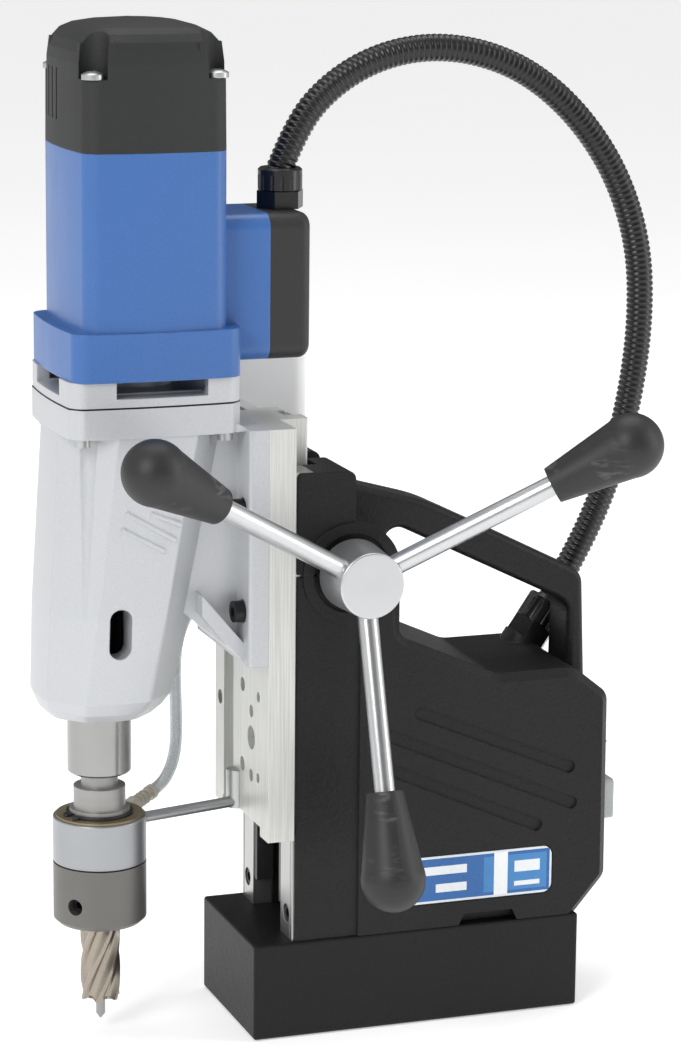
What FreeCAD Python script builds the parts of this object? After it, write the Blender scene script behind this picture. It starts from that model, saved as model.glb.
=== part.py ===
import FreeCAD, Part
import math
import os
from FreeCAD import Vector

# Magnetic drill press. Frame: origin at the middle of the magnet's underside, +Z up,
# +X towards the control panel at the back, the drill at -X, the capstan on the -Y side.
# All sizes in millimetres.

# ---------------------------------------------------------------- driving dimensions
MAGNET_LENGTH = 165.0
MAGNET_WIDTH = 81.0
MAGNET_HEIGHT = 46.5
COLUMN_FRONT = -62.0
COLUMN_HALF_WIDTH = 39.0
COLUMN_TOP = 271.5
COLUMN_BACK = -33.7
HOUSING_FRONT = -31.0
HOUSING_HALF_WIDTH = 40.2
HOUSING_BACK = 97.0
HOUSING_WALL = 4.5
HANDLE_HALF_WIDTH = 13.0
CAPSTAN_X = -35.5
CAPSTAN_Z = 223.3
CAPSTAN_BOSS_RADIUS = 24.0
RAIL_FRONT = -63.2
RAIL_BACK = -54.2
RAIL_INNER = 21.0
RAIL_OUTER = 37.6
PLATE_FRONT = -76.3
PLATE_BACK = -63.5
PLATE_HALF_WIDTH = 41.0
PLATE_BOTTOM = 97.0
PLATE_TOP = 293.0
TONGUE_BACK = -49.5
TONGUE_HALF_WIDTH = 16.5
SPINDLE_X = -146.2
MOTOR_X = -128.0
CASE_BOTTOM = 157.0
SEAM_GEARBOX = 306.0
SEAM_MOTOR = 318.0
COLLAR_TOP = 340.0
SEAM_CAP = 420.0
CAP_TOP = 477.0
CASE_WALL = 3.5
SHELL_WALL = 3.0
RACK_MODULE = 1.5
CAPSTAN_TEETH = 20
HOSE_RADIUS = 6.5
TUBE_RADIUS = 3.0
PRESSURE_ANGLE = math.radians(20.0)
ADDENDUM = 0.75
DEDENDUM = 1.1
SCREW_GAP = 0.05
SLIDE_GAP = 0.3

X_AXIS = Vector(1, 0, 0)
Y_AXIS = Vector(0, 1, 0)
Z_AXIS = Vector(0, 0, 1)

os.makedirs("parts", exist_ok=True)
nodes = {}


# ---------------------------------------------------------------- small helpers
def box(x0, x1, y0, y1, z0, z1):
    return Part.makeBox(x1 - x0, y1 - y0, z1 - z0, Vector(x0, y0, z0))


def rod(start, axis, radius, length):
    return Part.makeCylinder(radius, length, Vector(*start), axis)


def upright(x, y, z0, z1, radius):
    return Part.makeCylinder(radius, z1 - z0, Vector(x, y, z0), Z_AXIS)


def ring(x, y, z0, z1, outer, inner):
    return upright(x, y, z0, z1, outer).cut(upright(x, y, z0 - 1, z1 + 1, inner))


def cone(start, axis, radius_start, radius_end, length):
    return Part.makeCone(radius_start, radius_end, length, Vector(*start), axis)


def rounded_wire(corners, closed=True):
    """A wire through corners (point, radius): each corner is a tangent arc of its radius."""
    points = [Vector(*p) for p, _ in corners]
    radii = [r for _, r in corners]
    count = len(points)
    stops = []
    for i, (point, radius) in enumerate(zip(points, radii)):
        before = points[i - 1] - point
        after = points[(i + 1) % count] - point
        if radius == 0 or (not closed and i in (0, count - 1)):
            stops.append((point, None, point))
            continue
        before.normalize()
        after.normalize()
        half = before.getAngle(after) / 2
        reach = radius / math.tan(half)
        middle = (before + after).normalize()
        inward = point + middle * (radius / math.sin(half) - radius)
        stops.append((point + before * reach, inward, point + after * reach))
    edges = []
    for i, (first, middle, last) in enumerate(stops):
        if middle is not None:
            edges.append(Part.Arc(first, middle, last).toShape())
        if i == count - 1 and not closed:
            break
        following = stops[(i + 1) % count][0]
        if last.distanceToPoint(following) > 1e-6:
            edges.append(Part.LineSegment(last, following).toShape())
    return Part.Wire(edges)


def side_prism(corners, y0, y1):
    """A solid from an outline (x, z, corner radius) seen from the side, between y0 and y1."""
    wire = rounded_wire([((x, y0, z), r) for x, z, r in corners])
    return Part.Face(wire).extrude(Vector(0, y1 - y0, 0))


def plan_prism(corners, z0, z1):
    """A solid from an outline (x, y, corner radius) seen from above, between z0 and z1."""
    wire = rounded_wire([((x, y, z0), r) for x, y, r in corners])
    return Part.Face(wire).extrude(Vector(0, 0, z1 - z0))


def rear_prism(corners, x0, x1):
    """A solid from an outline (y, z, corner radius) seen from behind, between x0 and x1."""
    wire = rounded_wire([((x0, y, z), r) for y, z, r in corners])
    return Part.Face(wire).extrude(Vector(x1 - x0, 0, 0))


def rectangle(u0, u1, v0, v1, radius=0.0):
    return [(u0, v0, radius), (u1, v0, radius), (u1, v1, radius), (u0, v1, radius)]


def bowed_wire(x, half_x, half_y, corner, bow, z):
    """A square section with rounded corners whose four sides bow outwards."""
    edges = []
    sides = [(1, 0), (0, 1), (-1, 0), (0, -1)]
    for nx, ny in sides:
        reach = half_x if nx else half_y
        across = (half_y if nx else half_x) - corner
        tx, ty = -ny, nx
        first = Vector(x + nx * reach - tx * across, ny * reach - ty * across, z)
        last = Vector(x + nx * reach + tx * across, ny * reach + ty * across, z)
        top = Vector(x + nx * (reach + bow), ny * (reach + bow), z)
        edges.append(Part.Arc(first, top, last).toShape())
        next_x, next_y = tx, ty
        centre = Vector(x, 0, z)
        centre += Vector((nx + next_x) * (half_x - corner), (ny + next_y) * (half_y - corner), 0)
        diagonal = Vector(nx + next_x, ny + next_y, 0).normalize() * corner
        after_reach = half_x if next_x else half_y
        after_across = (half_y if next_x else half_x) - corner
        following = Vector(
            x + next_x * after_reach + nx * after_across, next_y * after_reach + ny * after_across, z
        )
        edges.append(Part.Arc(last, centre + diagonal, following).toShape())
    return Part.Wire(edges)


def faceted_wire(x, half_x, half_y, chamfer, bow, z, edge_round):
    """A square section with bowed sides, flat corner facets and slightly rounded edges."""
    edges = []
    reach = edge_round * math.tan(math.pi / 8)
    for nx, ny in [(1, 0), (0, 1), (-1, 0), (0, -1)]:
        tx, ty = -ny, nx
        half = half_x if nx else half_y
        across = (half_y if nx else half_x) - chamfer
        middle = Vector(x + nx * half, ny * half, z)
        along = Vector(tx, ty, 0)
        outward = Vector(nx, ny, 0)
        start = middle - along * (across - reach)
        end = middle + along * (across - reach)
        edges.append(("side", start, middle + outward * bow, end))
        vertex = middle + along * across
        slant = (along - outward).normalize()
        edges.append(("round", end, vertex, vertex + slant * reach))
        following = Vector(x + tx * (half_x if tx else half_y), ty * (half_y if ty else half_x), z)
        next_across = (half_y if tx else half_x) - chamfer
        next_vertex = following + outward * next_across
        edges.append(("flat", vertex + slant * reach, None, next_vertex - slant * reach))
        edges.append(("round", next_vertex - slant * reach, next_vertex, next_vertex - outward * reach))
    shapes = []
    for kind, start, middle, end in edges:
        if kind == "flat":
            shapes.append(Part.LineSegment(start, end).toShape())
        elif kind == "side":
            shapes.append(Part.Arc(start, middle, end).toShape())
        else:
            chord = (start + end) * 0.5
            to_corner = (middle - chord).normalize()
            sagitta = edge_round * (1 - math.cos(math.pi / 8))
            shapes.append(Part.Arc(start, chord + to_corner * sagitta, end).toShape())
    return Part.Wire(shapes)


def bowed_solid(stations):
    """A solid through bowed sections (x, half_x, half_y, corner, bow, z), bottom to top."""
    wires = [bowed_wire(*station) for station in stations]
    return Part.makeLoft(wires, True, True)


def cap_screw(start, axis, radius, length, head_radius, head_length):
    """Socket cap screw: the head starts at start and the shank runs on along axis."""
    head = rod(start, axis, head_radius, head_length)
    socket = rod(start, axis, head_radius * 0.5, head_length * 0.55)
    under = Vector(*start) + axis * head_length
    shank = Part.makeCylinder(radius, length, under, axis)
    return head.fuse(shank).removeSplitter().cut(socket)


def group(shapes):
    return Part.makeCompound(shapes)


def turned(shape, angle, base, axis):
    result = shape.copy()
    result.rotate(base, axis, angle)
    return result


def tube_path(route):
    """Straight runs joined by tangent arcs, each as large as its two runs allow."""
    points = [Vector(*p) for p in route]
    corners = [(route[0], 0.0)]
    for before, point, after in zip(points, points[1:], points[2:]):
        turn = (point - before).getAngle(after - point)
        shorter = min((point - before).Length, (after - point).Length)
        corners.append((tuple(point), 0.45 * shorter / math.tan(turn / 2)))
    corners.append((route[-1], 0.0))
    return rounded_wire(corners, closed=False), [r for _, r in corners[1:-1]]


def swept_tube(name, route, radius):
    path, radii = tube_path(route)
    start = Vector(*route[0])
    heading = Vector(*route[1]) - start
    profile = Part.Wire([Part.Circle(start, heading, radius).toShape()])
    solid = path.makePipeShell([profile], True, False)
    solid = Part.Solid(solid) if solid.ShapeType == "Shell" else solid
    ideal = math.pi * radius ** 2 * path.Length
    print(name, "arc radii", [round(r, 1) for r in radii])
    print(name, "length %.1f, volume over section times length %.4f" % (path.Length, solid.Volume / ideal))
    return solid


def involute(angle):
    return math.tan(angle) - angle


def gear(x, y, z0, z1, module, teeth, tooth_at, backlash=0.12):
    """Spur gear on a vertical axis, with one tooth centred at the angle tooth_at."""
    pitch = module * teeth / 2
    base = pitch * math.cos(PRESSURE_ANGLE)
    tip = pitch + ADDENDUM * module
    root = pitch - DEDENDUM * module
    half = (math.pi * module / 2 - backlash) / 2 / pitch
    start = max(base, root)
    flank = []
    steps = 4
    for i in range(steps + 1):
        radius = start + (tip - start) * i / steps
        offset = half + involute(PRESSURE_ANGLE) - involute(math.acos(min(1.0, base / radius)))
        flank.append((radius, offset))
    outline = []
    for k in range(teeth):
        middle = tooth_at + 2 * math.pi * k / teeth
        rising = [(root, -flank[0][1])] if root < start else []
        rising += [(radius, -offset) for radius, offset in flank]
        falling = [(radius, -offset) for radius, offset in reversed(rising)]
        outline += [(radius, middle + offset) for radius, offset in rising + falling]
    points = [Vector(x + r * math.cos(a), y + r * math.sin(a), z0) for r, a in outline]
    face = Part.Face(Part.makePolygon(points + [points[0]]))
    return face.extrude(Vector(0, 0, z1 - z0))


def direction_angle(start, end):
    return math.atan2(end[1] - start[1], end[0] - start[0])


# ---------------------------------------------------------------- electromagnet
GROOVE_HALF_LENGTH = 52.0
GROOVE_HALF_WIDTH = 22.0
GROOVE_WIDTH = 12.0
GROOVE_DEPTH = 34.0
POTTING_DEPTH = 4.0
BOLT_PLACES = [(-24.0, -9.0), (-24.0, 9.0), (70.0, -25.0), (70.0, 25.0)]
BOLT_RADIUS = 4.0
BOLT_HEAD_Z = 12.0


def racetrack(inset, z0, z1):
    """The coil groove's ring, thinner all round by inset."""
    outer_x = GROOVE_HALF_LENGTH + GROOVE_WIDTH / 2 - inset
    outer_y = GROOVE_HALF_WIDTH + GROOVE_WIDTH / 2 - inset
    inner_x = GROOVE_HALF_LENGTH - GROOVE_WIDTH / 2 + inset
    inner_y = GROOVE_HALF_WIDTH - GROOVE_WIDTH / 2 + inset
    outer = plan_prism(rectangle(-outer_x, outer_x, -outer_y, outer_y, 12.0), z0, z1)
    inner = plan_prism(rectangle(-inner_x, inner_x, -inner_y, inner_y, 4.0), z0 - 1, z1 + 1)
    return outer.cut(inner)


def make_magnet():
    half_x = MAGNET_LENGTH / 2
    half_y = MAGNET_WIDTH / 2
    core = box(-half_x, half_x, -half_y, half_y, 0, MAGNET_HEIGHT)
    core = core.makeFillet(1.4, core.Edges)
    core = core.cut(racetrack(0.0, -1, GROOVE_DEPTH))
    bolts = []
    for x, y in BOLT_PLACES:
        core = core.cut(upright(x, y, -1, BOLT_HEAD_Z + 8.0, 7.0))
        core = core.cut(upright(x, y, 0, MAGNET_HEIGHT + 1, BOLT_RADIUS + SCREW_GAP))
        bolts.append(cap_screw((x, y, BOLT_HEAD_Z), Z_AXIS, BOLT_RADIUS, 40.0, 6.5, 8.0))
    nodes["magnet_core"] = core
    nodes["magnet_coil"] = racetrack(0.6, POTTING_DEPTH, GROOVE_DEPTH - 0.5)
    nodes["coil_potting"] = racetrack(0.05, 0.3, POTTING_DEPTH)
    nodes["magnet_bolts"] = group(bolts)


# ---------------------------------------------------------------- stand
GLAND_SEAT = (77.5, 24.5, 167.0)
GLAND_AXIS = Vector(0.581, 0.04, 0.813).normalize()
PLATE_RECESS = rectangle(-20.0, 68.5, 58.5, 82.5, 5.0)
RIBS = [((-1.0, 153.5), (76.0, 120.8)), ((-16.0, 143.5), (77.5, 102.7)), ((-12.0, 125.5), (59.5, 93.3))]
RIB_HALF_WIDTH = 3.1
RIB_DEPTH = 1.3
PANEL_Y = -14.0
ROCKER_Z = 124.0
BUTTONS_Z = 99.0
BUTTON_OFFSET = 6.8
MAINS_Y = 19.0
MAINS_Z = 78.0


def slanted_slot(start, end, half_width, y0, y1):
    """An obround between two points of the side (x, z), from y0 to y1."""
    (x0, z0), (x1, z1) = start, end
    length = math.hypot(x1 - x0, z1 - z0)
    lean = math.degrees(math.atan2(z1 - z0, x1 - x0))
    bar = box(0, length, y0, y1, -half_width, half_width)
    for place in (0, length):
        bar = bar.fuse(rod((place, y0, 0), Y_AXIS, half_width, y1 - y0))
    bar.rotate(Vector(0, 0, 0), Y_AXIS, -lean)
    bar.translate(Vector(x0, 0, z0))
    return bar


def make_stand_casting():
    floor = MAGNET_HEIGHT
    column = side_prism(
        [
            (COLUMN_FRONT, floor, 0),
            (COLUMN_FRONT, COLUMN_TOP, 3),
            (COLUMN_BACK, COLUMN_TOP, 4),
            (COLUMN_BACK, CAPSTAN_Z, 0),
            (CAPSTAN_X + CAPSTAN_BOSS_RADIUS, CAPSTAN_Z, 0),
            (CAPSTAN_X + CAPSTAN_BOSS_RADIUS, floor, 0),
        ],
        -COLUMN_HALF_WIDTH,
        COLUMN_HALF_WIDTH,
    )
    boss = rod((CAPSTAN_X, -HOUSING_HALF_WIDTH, CAPSTAN_Z), Y_AXIS, CAPSTAN_BOSS_RADIUS, 2 * HOUSING_HALF_WIDTH)
    outline = [
        (HOUSING_FRONT, floor, 0),
        (HOUSING_FRONT, 199.0, 8),
        (CAPSTAN_X + CAPSTAN_BOSS_RADIUS, 206.0, 0),
        (CAPSTAN_X + CAPSTAN_BOSS_RADIUS, 191.3, 9),
        (39.0, 168.9, 14),
        (79.0, 168.9, 12),
        (HOUSING_BACK - 0.6, 155.0, 8),
        (HOUSING_BACK, 64.0, 7),
        (82.0, floor, 0),
    ]
    housing = side_prism(outline, -HOUSING_HALF_WIDTH, HOUSING_HALF_WIDTH)
    rim = [
        e
        for e in housing.Edges
        if all(abs(abs(v.Y) - HOUSING_HALF_WIDTH) < 1e-6 for v in e.Vertexes)
        and len(e.Vertexes) == 2
        and abs(e.Vertexes[0].Y - e.Vertexes[1].Y) < 1e-6
        and min(v.X for v in e.Vertexes) > HOUSING_FRONT + 19.0
        and max(v.Z for v in e.Vertexes) > floor + 5.0
    ]
    housing = housing.makeChamfer(3.6, rim)
    handle = side_prism(
        [
            (-45.0, 264.8, 0),
            (12.0, 249.0, 80),
            (50.0, 230.5, 80),
            (93.0, 209.0, 9),
            (96.0, 140.0, 0),
            (-45.0, 140.0, 0),
        ],
        -HANDLE_HALF_WIDTH,
        HANDLE_HALF_WIDTH,
    )
    opening = side_prism(
        [
            (-11.6, 130.0, 0),
            (-11.6, 213.0, 16),
            (-8.0, 240.5, 7),
            (85.8, 194.5, 10),
            (84.6, 130.0, 0),
        ],
        -60.0,
        60.0,
    )
    handle = handle.cut(opening)
    grip_edges = [
        e
        for e in handle.Edges
        if all(abs(abs(v.Y) - HANDLE_HALF_WIDTH) < 1e-6 for v in e.Vertexes)
        and abs(e.Vertexes[0].Y - e.Vertexes[-1].Y) < 1e-6
        and min(v.X for v in e.Vertexes) > -12.0
        and min(v.Z for v in e.Vertexes) > 131.0
    ]
    handle = handle.makeFillet(3.5, grip_edges)
    seat = Vector(*GLAND_SEAT)
    spigot = Part.makeCylinder(11.0, 14.0, seat - GLAND_AXIS * 12.0, GLAND_AXIS)
    body = column.fuse([boss, housing, handle, spigot]).removeSplitter()

    # the inside of the control housing, over a floor with a hole for the coil's leads
    inside_back = HOUSING_BACK - HOUSING_WALL
    inside = side_prism(
        [
            (-4.0, floor + 7, 0),
            (-4.0, 181.0, 4),
            (38.0, 163.5, 6),
            (76.0, 163.5, 6),
            (inside_back, 150.0, 4),
            (inside_back, 66.0, 4),
            (80.0, floor + 7, 0),
        ],
        -HOUSING_HALF_WIDTH + HOUSING_WALL,
        HOUSING_HALF_WIDTH - HOUSING_WALL,
    )
    for x, y in BOLT_PLACES:
        inside = inside.cut(upright(x, y, floor, 64.0, 8.0)) if x > 0 else inside
    body = body.cut(inside)
    body = body.cut(upright(10.0, 20.0, floor - 1, floor + 8, 5.0))

    # slideway: seats of the two rails, the run of the tongue, and room for rack and pinion
    body = body.cut(box(-70, RAIL_BACK, -RAIL_OUTER, RAIL_OUTER, floor - 1, COLUMN_TOP + 1))
    body = body.cut(box(-60, -46.0, -19.0, 19.0, floor - 1, COLUMN_TOP + 1))
    body = body.cut(box(-47, COLUMN_BACK + 1, -4.0, 12.0, COLUMN_TOP - 12, COLUMN_TOP + 1))
    body = body.cut(rod((CAPSTAN_X, -7.0, CAPSTAN_Z), Y_AXIS, 18.0, 14.0))
    body = body.cut(rod((CAPSTAN_X, -60.0, CAPSTAN_Z), Y_AXIS, BUSH_RADIUS + SCREW_GAP, 100.2))
    body = body.cut(rod((CAPSTAN_X, -HOUSING_HALF_WIDTH - 1, CAPSTAN_Z), Y_AXIS, 18.6, 2.6))
    body = body.cut(box(-63, -52.5, -COLUMN_HALF_WIDTH - 1, -30.0, 222.6, 224.0))
    for x, y in BOLT_PLACES:
        body = body.cut(upright(x, y, floor - 1, 61.0, BOLT_RADIUS + SCREW_GAP))
    for y, z in RAIL_SCREW_PLACES:
        body = body.cut(rod((RAIL_BACK - 1, y, z), X_AXIS, 2.5 + SCREW_GAP, 16.0))

    # recess of the name plate, the three slanted grooves and the lead notch at the foot
    skin = -HOUSING_HALF_WIDTH
    body = body.cut(side_prism(PLATE_RECESS, skin - 1, skin + 0.9))
    for start, end in RIBS:
        body = body.cut(slanted_slot(start, end, RIB_HALF_WIDTH, skin - 1, skin + RIB_DEPTH))
        body = body.cut(slanted_slot(start, end, RIB_HALF_WIDTH, -skin - RIB_DEPTH, -skin + 1))
    notch = [(20.0, floor - 1, 0), (23.0, floor + 5.5, 1), (48.0, floor + 5.5, 1), (51.0, floor - 1, 0)]
    body = body.cut(side_prism(notch, skin - 1, skin + HOUSING_WALL + 1))

    # openings of the gland, the switches and the mains inlet
    body = body.cut(Part.makeCylinder(11.4, 14.0, seat + GLAND_AXIS * 2.0, GLAND_AXIS))
    body = body.cut(Part.makeCylinder(6.6, 40.0, seat - GLAND_AXIS * 30.0, GLAND_AXIS))
    back0 = HOUSING_BACK - HOUSING_WALL - 1
    rocker_hole = rectangle(PANEL_Y - 13.6, PANEL_Y + 13.6, ROCKER_Z - 6.6, ROCKER_Z + 6.6, 1.0)
    body = body.cut(rear_prism(rocker_hole, back0, HOUSING_BACK + 2))
    button_hole = rectangle(PANEL_Y - 13.6, PANEL_Y + 13.6, BUTTONS_Z - 8.2, BUTTONS_Z + 8.2, 1.0)
    body = body.cut(rear_prism(button_hole, back0, HOUSING_BACK + 2))
    body = body.cut(rod((back0, MAINS_Y, MAINS_Z), X_AXIS, 8.0 + SCREW_GAP, 8.0))
    nodes["stand_casting"] = body


RAIL_SCREW_PLACES = [(side * 29.5, z) for side in (-1, 1) for z in (58.0, 160.0, 258.0)]
BUSH_RADIUS = 10.0


def make_rails():
    rails = []
    screws = []
    for side in (-1, 1):
        low, high = sorted((side * RAIL_INNER, side * (RAIL_OUTER - 0.1)))
        rail = box(RAIL_FRONT, RAIL_BACK, low, high, MAGNET_HEIGHT, COLUMN_TOP + 0.3)
        groove = side * (RAIL_OUTER - 2.4)
        rail = rail.cut(box(RAIL_FRONT - 1, RAIL_FRONT + 0.7, groove - 0.4, groove + 0.4, 0, 300))
        rails.append(rail)
    for y, z in RAIL_SCREW_PLACES:
        pocket = rod((RAIL_FRONT - 1, y, z), X_AXIS, 4.4, 6.6)
        hole = rod((RAIL_FRONT - 1, y, z), X_AXIS, 2.5 + SCREW_GAP, 20.0)
        index = 0 if y < 0 else 1
        rails[index] = rails[index].cut(pocket).cut(hole)
        screws.append(cap_screw((RAIL_FRONT + 0.6, y, z), X_AXIS, 2.5, 15.0, 4.25, 5.0))
    nodes["rails"] = group(rails)
    nodes["rail_screws"] = group(screws)
    gibs = []
    for side in (-1, 1):
        low, high = sorted((side * (TONGUE_HALF_WIDTH + SLIDE_GAP), side * RAIL_INNER))
        gib = box(RAIL_FRONT + 0.5, RAIL_BACK, low, high, 60.0, COLUMN_TOP - 1.5)
        gibs.append(gib)
    nodes["gib_strips"] = group(gibs)


def hex_prism(centre, axis, across_flats, length):
    """A hexagon across_flats wide, standing on centre along axis."""
    radius = across_flats / math.sqrt(3)
    points = []
    for k in range(7):
        angle = math.pi / 3 * k
        points.append(Vector(radius * math.cos(angle), radius * math.sin(angle), 0))
    solid = Part.Face(Part.makePolygon(points)).extrude(Vector(0, 0, length))
    solid.Placement = FreeCAD.Placement(Vector(*centre), FreeCAD.Rotation(Z_AXIS, axis))
    return solid


def hose_gland(seat, axis, hex_length, nut_length, hose_start, hose_heading):
    """Hex base and ribbed clamping nut; the hose starts in a pocket of the nut's mouth."""
    seat = Vector(*seat)
    base = hex_prism(seat, axis, 19.5, hex_length)
    base = base.fuse(Part.makeCylinder(8.6, 3.0, seat + axis * hex_length, axis))
    foot = seat + axis * (hex_length + 0.4)
    nut = Part.makeCylinder(10.3, nut_length, foot, axis)
    rim = [e for e in nut.Edges if e.Closed and (e.Vertexes[0].Point - foot).dot(axis) > 1.0]
    nut = nut.makeChamfer(1.0, rim)
    bore = Part.makeCylinder(4.5, 40.0, seat - axis * 5.0, axis)
    step = Part.makeCylinder(8.6 + SCREW_GAP, 3.0, foot - axis * 0.2, axis)
    mouth = Part.makeCylinder(HOSE_RADIUS + SLIDE_GAP, 20.0, hose_start, hose_heading)
    across = axis.cross(Y_AXIS).normalize()
    flutes = []
    for k in range(14):
        flute = Part.makeCylinder(0.9, nut_length - 3.0, foot - axis * 0.2 + across * 10.8, axis)
        flutes.append(turned(flute, 360.0 / 14 * k, seat, axis))
    nut = nut.cut([bore, step, mouth] + flutes)
    return base.cut(bore), nut


def hose_end(first, second):
    """The hose's end point in a gland, and the way that the hose leaves it."""
    start = Vector(*first)
    return start, (Vector(*second) - start).normalize()


def make_stand_fittings():
    bushes = []
    for y0, y1 in ((-HOUSING_HALF_WIDTH + 1.8, -8.0), (8.0, 36.0)):
        outer = rod((CAPSTAN_X, y0, CAPSTAN_Z), Y_AXIS, BUSH_RADIUS, y1 - y0)
        inner = rod((CAPSTAN_X, y0 - 1, CAPSTAN_Z), Y_AXIS, SHAFT_RADIUS + 0.05, y1 - y0 + 2)
        bushes.append(outer.cut(inner))
    nodes["capstan_bushes"] = group(bushes)
    start, heading = hose_end(HOSE_ROUTE[-1], HOSE_ROUTE[-2])
    base, nut = hose_gland(Vector(*GLAND_SEAT) + GLAND_AXIS * 2.0, GLAND_AXIS, 9.0, 13.0, start, heading)
    nodes["stand_gland"] = group([base, nut])
    skin = -HOUSING_HALF_WIDTH
    plate = [(x + sx * 0.4, z + sz * 0.4, 4.6) for (x, z, _), (sx, sz) in zip(
        PLATE_RECESS, [(1, 1), (-1, 1), (-1, -1), (1, -1)])]
    nodes["name_plate"] = side_prism(plate, skin + 0.2, skin + 0.9)
    board = box(10.0, 74.0, 31.0, 32.6, 70.0, 150.0)
    for x, z, size in ((22.0, 130.0, 12.0), (50.0, 128.0, 18.0), (30.0, 92.0, 16.0), (60.0, 90.0, 10.0)):
        board = board.fuse(box(x - size / 2, x + size / 2, 31.0 - size * 0.8, 31.0, z - size / 2, z + size / 2))
    for x, z in ((12.5, 72.5), (71.5, 72.5), (12.5, 147.5), (71.5, 147.5)):
        board = board.fuse(rod((x, 32.6, z), Y_AXIS, 2.4, HOUSING_HALF_WIDTH - HOUSING_WALL - 32.6))
    nodes["control_board"] = board
    inlet = hex_prism((HOUSING_BACK, MAINS_Y, MAINS_Z), X_AXIS, 19.0, 5.0)
    inlet = inlet.fuse(rod((HOUSING_BACK - 8.0, MAINS_Y, MAINS_Z), X_AXIS, 8.0, 8.0))
    inlet = inlet.fuse(cone((HOUSING_BACK + 4.8, MAINS_Y, MAINS_Z), X_AXIS, 8.6, 7.4, 9.0))
    nodes["mains_gland"] = inlet.cut(rod((HOUSING_BACK - 10.0, MAINS_Y, MAINS_Z), X_AXIS, 4.2, 30.0))


ROCKER_X = HOUSING_BACK + 1.0
BUTTON_TRAVEL = 2.5


def make_switches():
    out = HOUSING_BACK + 2.4
    outer = rectangle(PANEL_Y - 15.6, PANEL_Y + 15.6, ROCKER_Z - 8.4, ROCKER_Z + 8.4, 1.6)
    sleeve = rectangle(PANEL_Y - 13.5, PANEL_Y + 13.5, ROCKER_Z - 6.5, ROCKER_Z + 6.5, 0.9)
    hole = rectangle(PANEL_Y - 12.2, PANEL_Y + 12.2, ROCKER_Z - 5.6, ROCKER_Z + 5.6)
    bezel = rear_prism(outer, HOUSING_BACK, out)
    bezel = bezel.fuse(rear_prism(sleeve, HOUSING_BACK - 14.0, HOUSING_BACK))
    bezel = bezel.cut(rear_prism(hole, HOUSING_BACK - 9.0, out + 1))
    nodes["rocker_bezel"] = bezel
    # the rocker pivots on the long axis: its face is two slopes that meet at the middle
    rocker = side_prism(
        [
            (ROCKER_X - 6.0, ROCKER_Z - 2.5, 0),
            (ROCKER_X - 6.0, ROCKER_Z + 2.5, 0),
            (ROCKER_X - 0.6, ROCKER_Z + 4.6, 0.6),
            (ROCKER_X + 4.2, ROCKER_Z + 4.0, 0.6),
            (ROCKER_X + 1.6, ROCKER_Z, 2.0),
            (ROCKER_X + 2.0, ROCKER_Z - 4.6, 0.6),
            (ROCKER_X - 1.0, ROCKER_Z - 4.6, 0.6),
        ],
        PANEL_Y - 11.9,
        PANEL_Y + 11.9,
    )
    nodes["magnet_rocker"] = rocker

    out = HOUSING_BACK + 7.5
    outer = rectangle(PANEL_Y - 15.6, PANEL_Y + 15.6, BUTTONS_Z - 9.8, BUTTONS_Z + 9.8, 2.0)
    inner = rectangle(PANEL_Y - 14.2, PANEL_Y + 14.2, BUTTONS_Z - 8.4, BUTTONS_Z + 8.4, 1.2)
    sleeve = rectangle(PANEL_Y - 13.5, PANEL_Y + 13.5, BUTTONS_Z - 8.1, BUTTONS_Z + 8.1, 0.9)
    frame = rear_prism(outer, HOUSING_BACK, out).cut(rear_prism(inner, HOUSING_BACK + 1.6, out + 1))
    frame = frame.fuse(rear_prism(sleeve, HOUSING_BACK - 16.0, HOUSING_BACK + 0.2))
    for name, side in (("start_button", -1), ("stop_button", 1)):
        y = PANEL_Y + side * BUTTON_OFFSET
        well = rectangle(y - 6.0, y + 6.0, BUTTONS_Z - 7.2, BUTTONS_Z + 7.2)
        frame = frame.cut(rear_prism(well, HOUSING_BACK - 12.0, out))
        cap = rear_prism(
            rectangle(y - 5.7, y + 5.7, BUTTONS_Z - 6.9, BUTTONS_Z + 6.9, 1.0),
            HOUSING_BACK - 7.0,
            HOUSING_BACK + 5.0,
        )
        nodes[name] = cap
    nodes["button_frame"] = frame


# ---------------------------------------------------------------- capstan
SHAFT_RADIUS = 7.0
HUB_FRONT = -68.0
HUB_BACK = -42.0
ARM_ROOT_Y = -56.0
ARM_TILT = 18.5
ARM_ANGLES = (150.0, 30.0, 270.0)
ARM_RADIUS = 4.8
ARM_REACH = 97.0
GRIP_LENGTH = 55.0


def arm_axis(angle):
    tilt = math.radians(ARM_TILT)
    turn = math.radians(angle)
    flat = math.cos(tilt)
    return Vector(flat * math.cos(turn), -math.sin(tilt), flat * math.sin(turn))


def capstan_pinion():
    """Pinion on the Y axis, one tooth pointing at the rack on the -X side."""
    pinion = gear(0, 0, -6.0, 6.0, RACK_MODULE, CAPSTAN_TEETH, math.pi, backlash=0.2)
    pinion.rotate(Vector(0, 0, 0), X_AXIS, 90)
    pinion.translate(Vector(CAPSTAN_X, 0, CAPSTAN_Z))
    return pinion


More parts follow.
